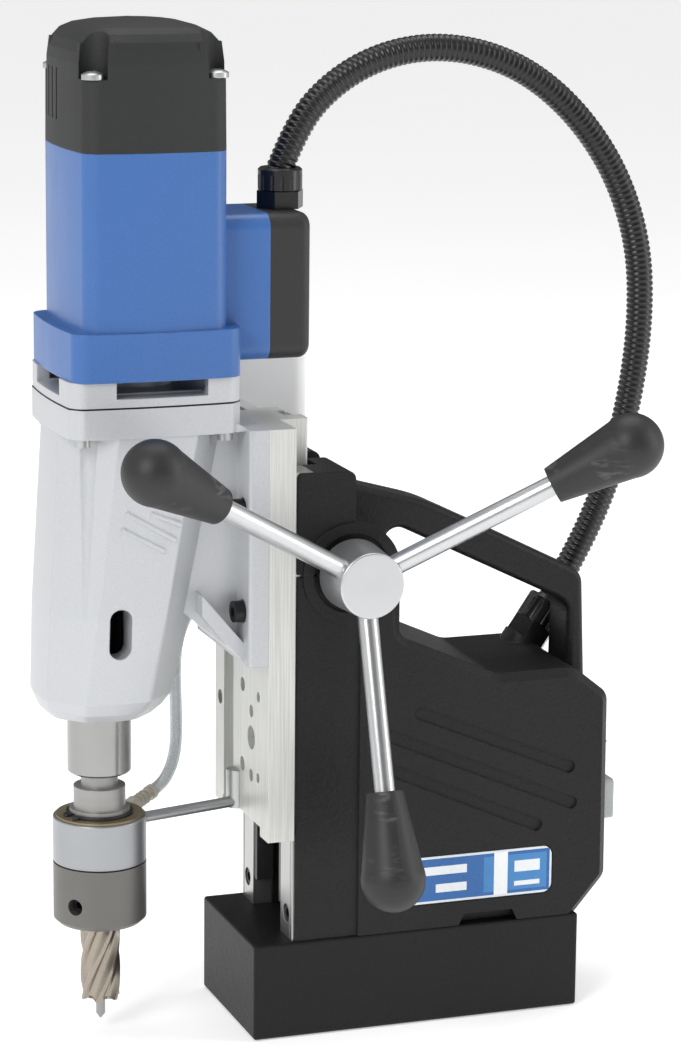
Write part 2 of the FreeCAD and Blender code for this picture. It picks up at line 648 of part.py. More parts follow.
def make_capstan():
    shaft = rod((CAPSTAN_X, HUB_FRONT + 6.0, CAPSTAN_Z), Y_AXIS, SHAFT_RADIUS, 98.0)
    shaft = shaft.fuse(capstan_pinion())
    nodes["pinion_shaft"] = shaft
    hub = cone((CAPSTAN_X, HUB_BACK, CAPSTAN_Z), -Y_AXIS, 16.8, 15.4, HUB_BACK - HUB_FRONT)
    front = [e for e in hub.Edges if all(abs(v.Y - HUB_FRONT) < 1e-6 for v in e.Vertexes) and e.Closed]
    hub = hub.makeFillet(0.9, front)
    hub = hub.cut(rod((CAPSTAN_X, HUB_FRONT + 5.9, CAPSTAN_Z), Y_AXIS, SHAFT_RADIUS + 0.02, 40.0))
    root = Vector(CAPSTAN_X, ARM_ROOT_Y, CAPSTAN_Z)
    arms = []
    grips = []
    for angle in ARM_ANGLES:
        axis = arm_axis(angle)
        hub = hub.cut(Part.makeCylinder(ARM_RADIUS + 0.02, 40.0, root + axis * 9.5, axis))
        arms.append(Part.makeCylinder(ARM_RADIUS, ARM_REACH + 30.0 - 9.6, root + axis * 9.6, axis))
        start = root + axis * ARM_REACH
        grip = Part.makeCone(8.6, 14.6, 38.0, start, axis)
        ball = Part.makeSphere(14.95, start + axis * (GRIP_LENGTH - 14.95))
        grip = grip.fuse(ball).removeSplitter()
        socket = Part.makeCylinder(ARM_RADIUS + 0.02, 30.1, start - axis * 0.05, axis)
        grips.append(grip.cut(socket))
    nodes["capstan_hub"] = hub
    nodes["capstan_arms"] = group(arms)
    nodes["capstan_grips"] = group(grips)


# ---------------------------------------------------------------- carriage
CHANNEL = (12.0, 27.4)
CHANNEL_DEPTH = 6.0
PLATE_HOLES = [
    (33.6, 149.0, 3.5), (-1.6, 164.0, 3.5), (-1.6, 125.0, 3.5), (-15.0, 154.2, 3.0),
    (-15.0, 122.8, 3.0), (-25.4, 163.5, 2.5), (-25.4, 124.3, 2.5),
]
BIG_HOLE = (-15.0, 141.3, 5.7)
BRACKET_FRONT = -86.0
BRACKET_BOTTOM = 182.0
BRACKET_TOP = 296.0
BRACKET_BOLTS = [(side * 31.5, z) for side in (-1, 1) for z in (207.0, 255.0)]
RACK_HALF_WIDTH = 6.0
RACK_PITCH_X = CAPSTAN_X - RACK_MODULE * CAPSTAN_TEETH / 2


def make_carriage():
    plate = box(PLATE_FRONT, PLATE_BACK, -PLATE_HALF_WIDTH, PLATE_HALF_WIDTH, PLATE_BOTTOM, PLATE_TOP)
    tongue = box(PLATE_BACK - 1, TONGUE_BACK, -TONGUE_HALF_WIDTH, TONGUE_HALF_WIDTH, PLATE_BOTTOM, PLATE_TOP)
    tall = [
        e
        for e in tongue.Edges
        if abs(e.Vertexes[0].Z - e.Vertexes[1].Z) > 1 and e.Vertexes[0].X > TONGUE_BACK - 0.1
    ]
    plate = plate.fuse(tongue.makeFillet(1.5, tall)).removeSplitter()
    slot = RACK_HALF_WIDTH + 0.1
    plate = plate.cut(box(-58.0, TONGUE_BACK + 1, -slot, slot, PLATE_BOTTOM - 1, PLATE_TOP + 1))
    plate = plate.cut(box(-53.5, TONGUE_BACK + 1, slot - 0.1, 20.0, PLATE_BOTTOM - 1, PLATE_TOP + 1))
    channel_back = PLATE_FRONT + CHANNEL_DEPTH
    low, high = CHANNEL
    plate = plate.cut(
        plan_prism(
            [
                (PLATE_FRONT - 1, low, 0),
                (channel_back, low, 2.0),
                (channel_back, high, 2.0),
                (PLATE_FRONT - 1, high, 0),
            ],
            PLATE_BOTTOM - 1,
            PLATE_TOP + 1,
        )
    )
    plate = plate.cut(box(-80, PLATE_BACK + 0.01, -29.0, 29.0, PLATE_BOTTOM - 1, PLATE_BOTTOM + 4.4))
    plate = plate.cut(box(-64, TONGUE_BACK + 1, -29.0, 29.0, PLATE_BOTTOM - 1, PLATE_BOTTOM + 4.4))
    for y, z, radius in PLATE_HOLES:
        plate = plate.cut(rod((PLATE_FRONT - 1, y, z), X_AXIS, radius, 10.0))
    y, z, radius = BIG_HOLE
    plate = plate.cut(rod((PLATE_FRONT - 1, y, z), X_AXIS, radius, 7.0))
    plate = plate.cut(rod((PLATE_FRONT - 1, y, z), X_AXIS, radius * 0.55, 14.0))
    for y, z in BRACKET_BOLTS:
        plate = plate.cut(rod((PLATE_FRONT - 1, y, z), X_AXIS, 3.0 + SCREW_GAP, 11.0))
    nodes["carriage_plate"] = plate

    bolts = [cap_screw((BRACKET_FRONT - 5.0, y, z), X_AXIS, 3.0, 18.0, 5.0, 6.0) for y, z in BRACKET_BOLTS]
    nodes["bracket_bolts"] = group(bolts)


def make_rack():
    """Rack with a gap at the capstan's height, teeth towards the pinion."""
    pitch = math.pi * RACK_MODULE
    tip = RACK_PITCH_X + ADDENDUM * RACK_MODULE
    root = RACK_PITCH_X - DEDENDUM * RACK_MODULE
    half = pitch / 4 - 0.1
    half_tip = half - ADDENDUM * RACK_MODULE * math.tan(PRESSURE_ANGLE)
    half_root = half + DEDENDUM * RACK_MODULE * math.tan(PRESSURE_ANGLE)
    bottom = PLATE_BOTTOM + 5.0
    top = PLATE_TOP - 1.0
    outline = [(-57.9, bottom), (root, bottom)]
    count = int((CAPSTAN_Z - bottom) / pitch)
    total = int((top - bottom) / pitch) - 1
    for k in range(total):
        z = CAPSTAN_Z + (k - count + 0.5) * pitch
        outline += [(root, z - half_root), (tip, z - half_tip), (tip, z + half_tip), (root, z + half_root)]
    outline += [(root, top), (-57.9, top)]
    return side_prism([(x, z, 0) for x, z in outline], -RACK_HALF_WIDTH, RACK_HALF_WIDTH)


# ---------------------------------------------------------------- gearbox
# sections of the case: x, half sizes, corner facet, bow, height, edge rounding
CASE_STATIONS = [
    (SPINDLE_X, 23.6, 23.6, 13.0, 0.9, CASE_BOTTOM, 9.0),
    (SPINDLE_X, 27.4, 27.4, 14.5, 1.0, CASE_BOTTOM + 4.0, 8.0),
    (-145.4, 30.2, 30.6, 15.0, 1.2, CASE_BOTTOM + 10.0, 5.0),
    (-139.8, 34.2, 35.0, 18.0, 1.2, 208.0, 3.0),
    (-128.3, 40.6, 38.2, 22.0, 1.0, 293.0, 3.0),
]
RIM_STATION = (-128.3, 40.6, 38.2, 5.5, 1.5)
GEAR_FLOOR = 246.0
WEB_BOTTOM = 236.0
LOWER_ROOM_BOTTOM = 176.0
RIM_THICKNESS = 14.0
GROOVE_TIP = 192.0
GEAR_ROOM = [(-134.4, GEAR_FLOOR, 33.0), (-128.3, 293.0, 34.4), (-128.3, SEAM_GEARBOX + 1, 34.4)]
MOTOR_BEARING = (311.5, 317.5)
STUB_TOP = 310.0
STUB_RADIUS = 2.0
NECK_RADIUS = 3.3
FIRST_SHAFT = (-116.0, math.sqrt(18.0 ** 2 - 12.0 ** 2))
MOTOR_AXIS = (MOTOR_X, 0.0)
SPINDLE_AXIS = (SPINDLE_X, 0.0)
FIRST_RATIO = (0.6, 12, 48)
SECOND_RATIO = (1.0, 12, 30)
THIRD_RATIO = (1.25, 12, 28)


def meeting_point(centre_a, radius_a, centre_b, radius_b):
    """The lower of the two points at the given distances from two centres."""
    dx = centre_b[0] - centre_a[0]
    dy = centre_b[1] - centre_a[1]
    apart = math.hypot(dx, dy)
    along = (radius_a ** 2 - radius_b ** 2 + apart ** 2) / (2 * apart)
    across = math.sqrt(radius_a ** 2 - along ** 2)
    foot = (centre_a[0] + dx * along / apart, centre_a[1] + dy * along / apart)
    places = [(foot[0] + s * dy * across / apart, foot[1] - s * dx * across / apart) for s in (1, -1)]
    return min(places, key=lambda place: place[1])


def centre_distance(ratio):
    module, small, large = ratio
    return module * (small + large) / 2


SECOND_SHAFT = meeting_point(
    FIRST_SHAFT, centre_distance(SECOND_RATIO), SPINDLE_AXIS, centre_distance(THIRD_RATIO)
)


def shrunk(station, wall, z=None, corner=None):
    x, half_x, half_y, outer_corner, bow, level = station[:6]
    corner = corner or max(outer_corner - wall * 0.6, 3.0)
    return (x, half_x - wall, half_y - wall, corner, bow, level if z is None else z)


def between(low, high, z):
    share = (z - low[5]) / (high[5] - low[5])
    return tuple(a + (b - a) * share for a, b in zip(low, high))


BEARINGS = []


def bearing(x, y, z0, z1, outer, inner):
    """A ball bearing; returns the pocket that it sits in."""
    BEARINGS.append(ring(x, y, z0, z1, outer, inner + 0.02))
    return upright(x, y, z0, z1, outer + 0.02)


def make_gear_case():
    case = Part.makeLoft([faceted_wire(*station) for station in CASE_STATIONS], True, True)
    rim_bottom = SEAM_GEARBOX - RIM_THICKNESS
    rim = [faceted_wire(*RIM_STATION, z, 4.0) for z in (rim_bottom, SEAM_GEARBOX)]
    case = case.fuse(Part.makeLoft(rim, True, True))
    circles = [Part.Wire([Part.Circle(Vector(x, 0, z), Z_AXIS, r).toShape()]) for x, z, r in GEAR_ROOM]
    room = Part.makeLoft(circles, True, True)
    flange = box(BRACKET_FRONT, PLATE_FRONT, -PLATE_HALF_WIDTH, PLATE_HALF_WIDTH, BRACKET_BOTTOM, BRACKET_TOP - 3)
    tall = [e for e in flange.Edges if abs(e.Vertexes[0].Z - e.Vertexes[1].Z) > 1]
    flange = flange.makeFillet(2.0, [e for e in tall if e.Vertexes[0].X < BRACKET_FRONT + 0.1])
    web = side_prism(
        [
            (-118.0, 206.0, 0),
            (-112.0, 206.0, 0),
            (BRACKET_FRONT + 1, BRACKET_BOTTOM + 2, 0),
            (BRACKET_FRONT + 1, BRACKET_TOP - 3, 0),
            (-96.0, SEAM_GEARBOX - 8, 0),
            (-118.0, SEAM_GEARBOX - 8, 0),
        ],
        -23.0,
        23.0,
    )
    lid = side_prism(
        [
            (-100.0, BRACKET_TOP - 4, 0),
            (BRACKET_FRONT + 1, BRACKET_TOP - 4, 0),
            (BRACKET_FRONT + 1, BRACKET_TOP - 3, 0),
            (-94.0, BRACKET_TOP + 2, 0),
            (-100.0, BRACKET_TOP + 2, 0),
        ],
        -36.0,
        36.0,
    )
    foot = side_prism(
        [
            (-106.0, 216.0, 0),
            (-106.0, 206.0, 0),
            (BRACKET_FRONT + 1, BRACKET_BOTTOM, 0),
            (BRACKET_FRONT + 1, BRACKET_BOTTOM + 9, 0),
        ],
        -33.0,
        33.0,
    )
    case = case.fuse([flange, web, lid, foot]).removeSplitter()
    case = case.cut(room)
    for x, y in case_screw_places():
        case = case.cut(upright(x, y, rim_bottom - 1, SEAM_GEARBOX + 1, 2.0 + SCREW_GAP))
        case = case.cut(cone((x, y, GROOVE_TIP), Z_AXIS, 0.6, 7.4, rim_bottom - GROOVE_TIP))
    # room round the spindle, its window in the side, and the bore at the foot
    case = case.cut(upright(SPINDLE_X, 0, LOWER_ROOM_BOTTOM, WEB_BOTTOM - 2, 22.0))
    case = case.cut(upright(SPINDLE_X, 0, CASE_BOTTOM - 1, CASE_BOTTOM + 8, 15.3))
    window = slanted_slot((SPINDLE_X + 0.8, 194.0), (SPINDLE_X + 0.8, 207.5), 5.2, -45.0, -18.0)
    case = case.cut(window)
    case = case.cut(bearing(SPINDLE_X, 0, CASE_BOTTOM + 7, LOWER_ROOM_BOTTOM, 21.0, 12.0))
    case = case.cut(bearing(SPINDLE_X, 0, WEB_BOTTOM, GEAR_FLOOR, 17.0, 10.0))
    case = case.cut(upright(SPINDLE_X, 0, WEB_BOTTOM - 3, WEB_BOTTOM + 1, 13.0))
    case = case.cut(upright(SPINDLE_X, 0, CASE_BOTTOM + 6, CASE_BOTTOM + 8, 15.3))
    for place in (FIRST_SHAFT, SECOND_SHAFT):
        case = case.cut(bearing(place[0], place[1], GEAR_FLOOR - 6, GEAR_FLOOR, 6.5, 4.0))
    for y, z in BRACKET_BOLTS:
        case = case.cut(rod((BRACKET_FRONT - 1, y, z), X_AXIS, 3.0 + SCREW_GAP, 12.0))
        case = case.cut(rod((BRACKET_FRONT - 8, y, z), X_AXIS, 5.4, 9.0))
    nodes["gear_case"] = case


def case_screw_places():
    station = RIM_STATION
    inset = 7.0
    return [
        (station[0] + sx * (station[1] - inset), sy * (station[2] - inset)) for sx in (-1, 1) for sy in (-1, 1)
    ]


def make_vent_flange():
    low = (-128.3, 40.4, 38.0, 8.0, 1.5, SEAM_GEARBOX)
    high = low[:5] + (SEAM_MOTOR,)
    flange = bowed_solid([low, high])
    inside = bowed_solid([shrunk(low, 6.0, SEAM_GEARBOX + 5), shrunk(high, 6.0, SEAM_MOTOR + 1)])
    flange = flange.cut(inside)
    floor_top = SEAM_GEARBOX + 5
    flange = flange.fuse(upright(MOTOR_X, 0, SEAM_GEARBOX, MOTOR_BEARING[1], 16.0))
    window_low = SEAM_GEARBOX + 4.2
    for sy in (-1, 1):
        low_y, high_y = sorted((sy * 28.0, sy * 45.0))
        flange = flange.cut(box(-148.0, -105.0, low_y, high_y, window_low, SEAM_MOTOR + 1))
    for sx in (-1, 1):
        low_x, high_x = sorted((-128.3 + sx * 30.0, -128.3 + sx * 50.0))
        flange = flange.cut(box(low_x, high_x, -20.0, 20.0, window_low, SEAM_MOTOR + 1))
    flange = flange.cut(bearing(MOTOR_X, 0, *MOTOR_BEARING, 12.0, 5.0))
    flange = flange.cut(upright(MOTOR_X, 0, SEAM_GEARBOX - 1, MOTOR_BEARING[0] + 1, 4.1))
    for place in (FIRST_SHAFT, SECOND_SHAFT):
        flange = flange.cut(bearing(place[0], place[1], SEAM_GEARBOX, STUB_TOP, 4.2, STUB_RADIUS))
    for x, y in case_screw_places():
        flange = flange.cut(upright(x, y, SEAM_GEARBOX - 1, SEAM_MOTOR + 1, 2.0 + SCREW_GAP))
    nodes["vent_flange"] = flange


def make_case_screws():
    screws = []
    for x, y in case_screw_places():
        head_z = SEAM_GEARBOX - RIM_THICKNESS - 4.0
        screws.append(cap_screw((x, y, head_z), Z_AXIS, 2.0, 25.0, 3.6, 4.0))
    nodes["case_screws"] = group(screws)


def make_gear_train():
    module, small, large = FIRST_RATIO
    to_first = direction_angle(MOTOR_AXIS, FIRST_SHAFT)
    shaft = upright(MOTOR_X, 0, MOTOR_BEARING[0], SEAM_CAP - 1, 5.0)
    shaft = shaft.fuse(upright(MOTOR_X, 0, 303.0, MOTOR_BEARING[0], NECK_RADIUS))
    pinion = gear(MOTOR_X, 0, 291.0, 303.0, module, small, to_first)
    nodes["armature_shaft"] = shaft.fuse(pinion)

    to_second = direction_angle(FIRST_SHAFT, SECOND_SHAFT)
    x, y = FIRST_SHAFT
    first = upright(x, y, GEAR_FLOOR - 6, 304.0, 4.0).fuse(upright(x, y, 304.0, STUB_TOP, STUB_RADIUS))
    first = first.fuse(gear(x, y, 292.0, 301.0, module, large, to_first + math.pi + math.pi / large))
    module, small, large = SECOND_RATIO
    first = first.fuse(gear(x, y, 273.0, 292.0, module, small, to_second))
    nodes["first_layshaft"] = first

    x, y = SECOND_SHAFT
    to_spindle = direction_angle(SECOND_SHAFT, SPINDLE_AXIS)
    second = upright(x, y, GEAR_FLOOR - 6, 288.0, 4.0).fuse(upright(x, y, 288.0, STUB_TOP, STUB_RADIUS))
    second = second.fuse(gear(x, y, 276.0, 288.0, module, large, to_second + math.pi + math.pi / large))
    module, small, large = THIRD_RATIO
    second = second.fuse(gear(x, y, 252.0, 276.0, module, small, to_spindle))
    nodes["second_layshaft"] = second
    wheel = gear(SPINDLE_X, 0, 254.0, 270.0, module, large, to_spindle + math.pi + math.pi / large)
    nodes["spindle_gear"] = wheel.cut(upright(SPINDLE_X, 0, 250.0, 272.0, 10.02))


# ---------------------------------------------------------------- motor
BODY_STATION = (MOTOR_X, 33.8, 38.4, 9.0, 1.8)
COLLAR_STATION = (-127.8, 39.8, 40.0, 8.5, 1.6)
SWITCH_SEAM = -71.0
SWITCH_BACK = -50.8
SWITCH_HALF_WIDTH = 24.3
SWITCH_BOTTOM = 322.0
SWITCH_TOP = 389.5
FAN_Z = (322.0, 333.0)
CORE_Z = (345.0, 386.0)
COMMUTATOR_Z = (391.0, 407.0)
BRIDGE_Z = (411.0, 417.0)


def switch_box(x0, x1, inset, back_round=0.0):
    outline = rectangle(
        -SWITCH_HALF_WIDTH + inset, SWITCH_HALF_WIDTH - inset, SWITCH_BOTTOM + inset, SWITCH_TOP - inset, 7.0 - inset
    )
    solid = rear_prism(outline, x0, x1)
    if back_round:
        rim = [e for e in solid.Edges if all(abs(v.X - x1) < 1e-6 for v in e.Vertexes)]
        solid = solid.makeFillet(back_round, rim)
    return solid


def make_motor():
    collar = bowed_solid([COLLAR_STATION + (SEAM_MOTOR,), COLLAR_STATION + (COLLAR_TOP,)])
    body = bowed_solid([BODY_STATION + (SEAM_MOTOR,), BODY_STATION + (SEAM_CAP,)])
    housing = body.fuse(collar).fuse(switch_box(-97.0, SWITCH_SEAM, 0.0)).removeSplitter()
    room = bowed_solid(
        [shrunk(BODY_STATION + (SEAM_MOTOR - 1,), SHELL_WALL), shrunk(BODY_STATION + (SEAM_CAP + 1,), SHELL_WALL)]
    )
    housing = housing.cut(room)
    housing = housing.cut(switch_box(-91.0, SWITCH_SEAM + 1, SHELL_WALL))
    housing = housing.cut(rod((-100.0, 0, 360.0), X_AXIS, 8.0, 12.0))
    bridge = box(MOTOR_X - 32.0, MOTOR_X + 32.0, -9.0, 9.0, *BRIDGE_Z)
    bridge = bridge.fuse(box(MOTOR_X - 9.0, MOTOR_X + 9.0, -37.0, 37.0, *BRIDGE_Z))
    bridge = bridge.fuse(upright(MOTOR_X, 0, BRIDGE_Z[0], BRIDGE_Z[1] + 2, 14.0))
    housing = housing.fuse(bridge).removeSplitter()
    housing = housing.cut(bearing(MOTOR_X, 0, BRIDGE_Z[0], BRIDGE_Z[1] + 2, 11.0, 5.0))
    for x, y in cap_screw_places():
        boss = upright(x, y, SEAM_CAP - 30, SEAM_CAP, 4.5).common(body)
        housing = housing.fuse(boss)
        housing = housing.cut(upright(x, y, SEAM_CAP - 20, SEAM_CAP + 1, 2.2 + SCREW_GAP))
    nodes["motor_housing"] = housing.removeSplitter()

    cover = switch_box(SWITCH_SEAM, SWITCH_BACK, 0.0, 5.0)
    cover = cover.cut(switch_box(SWITCH_SEAM - 1, SWITCH_BACK - SHELL_WALL, SHELL_WALL))
    cover = cover.cut(upright(GLAND_X, 0, SWITCH_TOP - 6, SWITCH_TOP + 1, 6.0))
    nodes["switch_box_cover"] = cover
    start, heading = hose_end(HOSE_ROUTE[0], HOSE_ROUTE[1])
    base, nut = hose_gland((GLAND_X, 0, SWITCH_TOP), Z_AXIS, 8.0, 10.2, start, heading)
    nodes["motor_gland"] = group([base, nut])

    ring_low, ring_high = CORE_Z
    nodes["stator"] = ring(MOTOR_X, 0, ring_low - 2, ring_high + 2, 30.4, 22.3)
    core = ring(MOTOR_X, 0, ring_low, ring_high, 21.8, 5.02)
    commutator = ring(MOTOR_X, 0, *COMMUTATOR_Z, 11.0, 5.02)
    nodes["armature_core"] = group([core, commutator])
    fan = ring(MOTOR_X, 0, FAN_Z[0], FAN_Z[0] + 2, 27.0, 5.02)
    fan = fan.fuse(ring(MOTOR_X, 0, *FAN_Z, 9.0, 5.02))
    blade = box(MOTOR_X + 8.0, MOTOR_X + 27.0, -0.8, 0.8, *FAN_Z)
    centre = Vector(MOTOR_X, 0, 0)
    fan = fan.fuse([turned(blade, 360.0 / 9 * k, centre, Z_AXIS) for k in range(9)])
    nodes["fan"] = fan.removeSplitter()
    pieces = []
    for sy in (-1, 1):
        near, far = sorted((sy * 14.0, sy * 33.0))
        holder = box(MOTOR_X - 6, MOTOR_X + 6, near, far, COMMUTATOR_Z[0] + 2, BRIDGE_Z[0])
        near, far = sorted((sy * 11.2, sy * 30.0))
        slot = box(MOTOR_X - 3, MOTOR_X + 3, near, far, COMMUTATOR_Z[0] + 5, COMMUTATOR_Z[0] + 13)
        near, far = sorted((sy * 11.2, sy * 27.0))
        pieces.append(holder.cut(slot))
        pieces.append(box(MOTOR_X - 3, MOTOR_X + 3, near, far, COMMUTATOR_Z[0] + 5, COMMUTATOR_Z[0] + 13))
    nodes["brush_gear"] = group(pieces)


CAP_POCKET_Z = 452.5
VENT_Y = (4.0, 12.3, 20.6, 28.9)


def cap_screw_places():
    _, half_x, half_y, _, _ = BODY_STATION
    return [(MOTOR_X + sx * (half_x - 5.0), sy * (half_y - 5.0)) for sx in (-1, 1) for sy in (-1, 1)]


def make_motor_cap():
    x, half_x, half_y, corner, bow = BODY_STATION
    low = BODY_STATION + (SEAM_CAP,)
    middle = (x, half_x - 0.3, half_y - 0.3, corner, bow, CAP_TOP - 18)
    cap = bowed_solid([low, middle])
    crown = [
        (x, half_x - 0.3, half_y - 0.3, corner, bow, CAP_TOP - 18),
        (x, half_x - 0.9, half_y - 0.9, corner, bow, CAP_TOP - 13),
        (x, half_x - 2.6, half_y - 2.6, corner, bow, CAP_TOP - 8.5),
        (x, half_x - 5.6, half_y - 5.6, corner, bow, CAP_TOP - 5.0),
        (x, half_x - 10.0, half_y - 10.0, corner, bow, CAP_TOP - 2.6),
        (x, half_x - 16.5, half_y - 18.0, corner, bow, CAP_TOP - 0.9),
        (x, half_x - 23.0, half_y - 27.0, corner, bow, CAP_TOP),
    ]
    cap = cap.fuse(bowed_solid(crown)).removeSplitter()
    room = bowed_solid(
        [shrunk(low, SHELL_WALL, SEAM_CAP - 1), shrunk(middle, SHELL_WALL + 1, CAP_TOP - 14)]
    )
    cap = cap.cut(room)
    for px, py in cap_screw_places():
        post = upright(px, py, SEAM_CAP, CAP_POCKET_Z, 6.0)
        wall = upright(px, py, CAP_POCKET_Z - 3, CAP_TOP, 10.5)
        cap = cap.fuse(post.common(solid_cap(low, middle)))
        cap = cap.fuse(wall.common(solid_cap(low, middle)))
        cap = cap.cut(upright(px, py, CAP_POCKET_Z, CAP_TOP + 1, 7.4))
        side_x = 20.0 if px > MOTOR_X else -20.0
        side_y = 20.0 if py > 0 else -20.0
        x0, x1 = sorted((px, px + side_x))
        y0, y1 = sorted((py, py + side_y))
        cap = cap.cut(box(x0, x1, y0, y1, CAP_POCKET_Z, CAP_TOP + 1))
        cap = cap.cut(upright(px, py, SEAM_CAP - 1, CAP_POCKET_Z + 1, 2.2 + SCREW_GAP))
    for y in VENT_Y:
        cap = cap.cut(box(x - 50.0, x - half_x + 8, y - 1.1, y + 1.1, 432.0, 455.0))
        cap = cap.cut(box(x + half_x - 8, x + 50.0, -y - 1.1, -y + 1.1, 432.0, 455.0))
    nodes["motor_cap"] = cap.removeSplitter()
    screws = []
    for px, py in cap_screw_places():
        head = Part.makeSphere(9.0, Vector(px, py, CAP_POCKET_Z - 5.2)).common(
            upright(px, py, CAP_POCKET_Z, CAP_POCKET_Z + 4.5, 5.0)
        )
        shank = upright(px, py, SEAM_CAP - 18, CAP_POCKET_Z, 2.2)
        screw = head.fuse(shank)
        for across in ((0.6, 2.6), (2.6, 0.6)):
            slot = box(
                px - across[0], px + across[0], py - across[1], py + across[1],
                CAP_POCKET_Z + 1.8, CAP_POCKET_Z + 5,
            )
            screw = screw.cut(slot)
        screws.append(screw)
    nodes["cap_screws"] = group(screws)


def solid_cap(low, middle):
    top = (middle[0], middle[1] - 1.0, middle[2] - 1.0, middle[3], middle[4], CAP_TOP - 9)
    return bowed_solid([low, middle, top])


# ---------------------------------------------------------------- spindle, holder and cutter
SLEEVE_BOTTOM = 127.3
SHOULDER_TOP = 120.5
RING_BOTTOM = 84.3
RING_TOP = 106.0
HOLDER_BOTTOM = 54.5
HOLDER_RADIUS = 22.0
STEM_RADIUS = 14.2
TAPER_TOP = 188.0
CUTTER_RADIUS = 9.5
CUTTER_BOTTOM = 15.7
PIN_BOTTOM = 4.9
PIN_RADIUS = 2.2
PIN_TOP = 87.0
SPRING_ROOM = (84.0, 113.0)


def make_spindle():
    spindle = upright(SPINDLE_X, 0, SLEEVE_BOTTOM, CASE_BOTTOM + 6.5, 15.0)
    spindle = spindle.fuse(upright(SPINDLE_X, 0, CASE_BOTTOM + 6.5, LOWER_ROOM_BOTTOM + 2, 12.0))
    spindle = spindle.fuse(upright(SPINDLE_X, 0, LOWER_ROOM_BOTTOM + 2, 272.0, 10.0)).removeSplitter()
    edge = [e for e in spindle.Edges if e.Closed and abs(e.Vertexes[0].Z - SLEEVE_BOTTOM) < 1e-6]
    spindle = spindle.makeChamfer(1.0, edge)
    spindle = spindle.cut(
        cone((SPINDLE_X, 0, SLEEVE_BOTTOM - 0.01), Z_AXIS, 8.75, 7.05, TAPER_TOP + 1 - SLEEVE_BOTTOM)
    )
    spindle = spindle.cut(box(SPINDLE_X - 3.0, SPINDLE_X + 3.0, -20, 20, 186.0, 210.0))
    nodes["spindle"] = spindle

    holder = upright(SPINDLE_X, 0, HOLDER_BOTTOM, RING_BOTTOM - 0.5, HOLDER_RADIUS)
    edge = [e for e in holder.Edges if e.Closed and abs(e.Vertexes[0].Z - HOLDER_BOTTOM) < 1e-6]
    holder = holder.makeChamfer(2.2, edge)
    holder = holder.fuse(upright(SPINDLE_X, 0, RING_BOTTOM - 0.5, RING_TOP + 4.0, STEM_RADIUS))
    holder = holder.fuse(upright(SPINDLE_X, 0, RING_TOP + 4.0, SHOULDER_TOP, 12.2))
    holder = holder.fuse(upright(SPINDLE_X, 0, SHOULDER_TOP, SLEEVE_BOTTOM, 8.7))
    holder = holder.fuse(cone((SPINDLE_X, 0, SLEEVE_BOTTOM), Z_AXIS, 8.7, 7.0, TAPER_TOP - SLEEVE_BOTTOM))
    holder = holder.removeSplitter()
    holder = holder.cut(ring(SPINDLE_X, 0, RING_TOP + 1.1, RING_TOP + 2.3, 20.0, STEM_RADIUS - 1.2))
    holder = holder.cut(upright(SPINDLE_X, 0, HOLDER_BOTTOM - 1, SPRING_ROOM[0], CUTTER_RADIUS + 0.03))
    holder = holder.cut(upright(SPINDLE_X, 0, SPRING_ROOM[0] - 1, SPRING_ROOM[1], 4.1))
    screws = []
    for angle in (-137.8, 42.2):
        turn = math.radians(angle)
        outward = Vector(math.cos(turn), math.sin(turn), 0)
        seat = Vector(SPINDLE_X, 0, 66.0) + outward * (CUTTER_RADIUS + 0.1)
        holder = holder.cut(Part.makeCylinder(3.9, 20.0, seat, outward))
        screw = Part.makeCylinder(3.85, 8.0, seat, outward)
        key = hex_prism(tuple(seat + outward * 4.0), outward, 4.0, 5.0)
        screws.append(screw.cut(key))
    nodes["tool_holder"] = holder
    nodes["set_screws"] = group(screws)

    clip = ring(SPINDLE_X, 0, RING_TOP + 1.15, RING_TOP + 2.25, STEM_RADIUS + 1.6, STEM_RADIUS - 1.1)
    open_at = math.radians(200.0)
    gap = box(0, 30, -2.0, 2.0, RING_TOP, RING_TOP + 4)
    gap.rotate(Vector(0, 0, 0), Z_AXIS, math.degrees(open_at))
    gap.translate(Vector(SPINDLE_X, 0, 0))
    clip = clip.cut(gap)
    for side in (-1, 1):
        turn = open_at + side * math.radians(13.0)
        reach = STEM_RADIUS + 2.2
        lug = ring(
            SPINDLE_X + reach * math.cos(turn), reach * math.sin(turn),
            RING_TOP + 1.15, RING_TOP + 2.25, 1.9, 0.8,
        )
        clip = clip.fuse(lug)
    nodes["circlip"] = clip.cut(upright(SPINDLE_X, 0, RING_TOP, RING_TOP + 4, STEM_RADIUS - 1.1))

    nodes["cutter"] = make_cutter()
    pin = upright(SPINDLE_X, 0, PIN_BOTTOM + 2.5, 85.0, PIN_RADIUS)
    pin = pin.fuse(cone((SPINDLE_X, 0, PIN_BOTTOM), Z_AXIS, 0.3, PIN_RADIUS, 2.5))
    pin = pin.fuse(upright(SPINDLE_X, 0, SPRING_ROOM[0], PIN_TOP, 3.7)).removeSplitter()
    nodes["pilot_pin"] = pin
    helix = Part.makeHelix(3.4, SPRING_ROOM[1] - PIN_TOP - 2.0, 3.1)
    helix.translate(Vector(SPINDLE_X, 0, PIN_TOP + 1.0))
    start = helix.Edges[0].valueAt(helix.Edges[0].FirstParameter)
    heading = helix.Edges[0].tangentAt(helix.Edges[0].FirstParameter)
    wire = Part.Wire([Part.Circle(start, heading, 0.45).toShape()])
    nodes["ejector_spring"] = Part.Wire(helix.Edges).makePipeShell([wire], True, True)


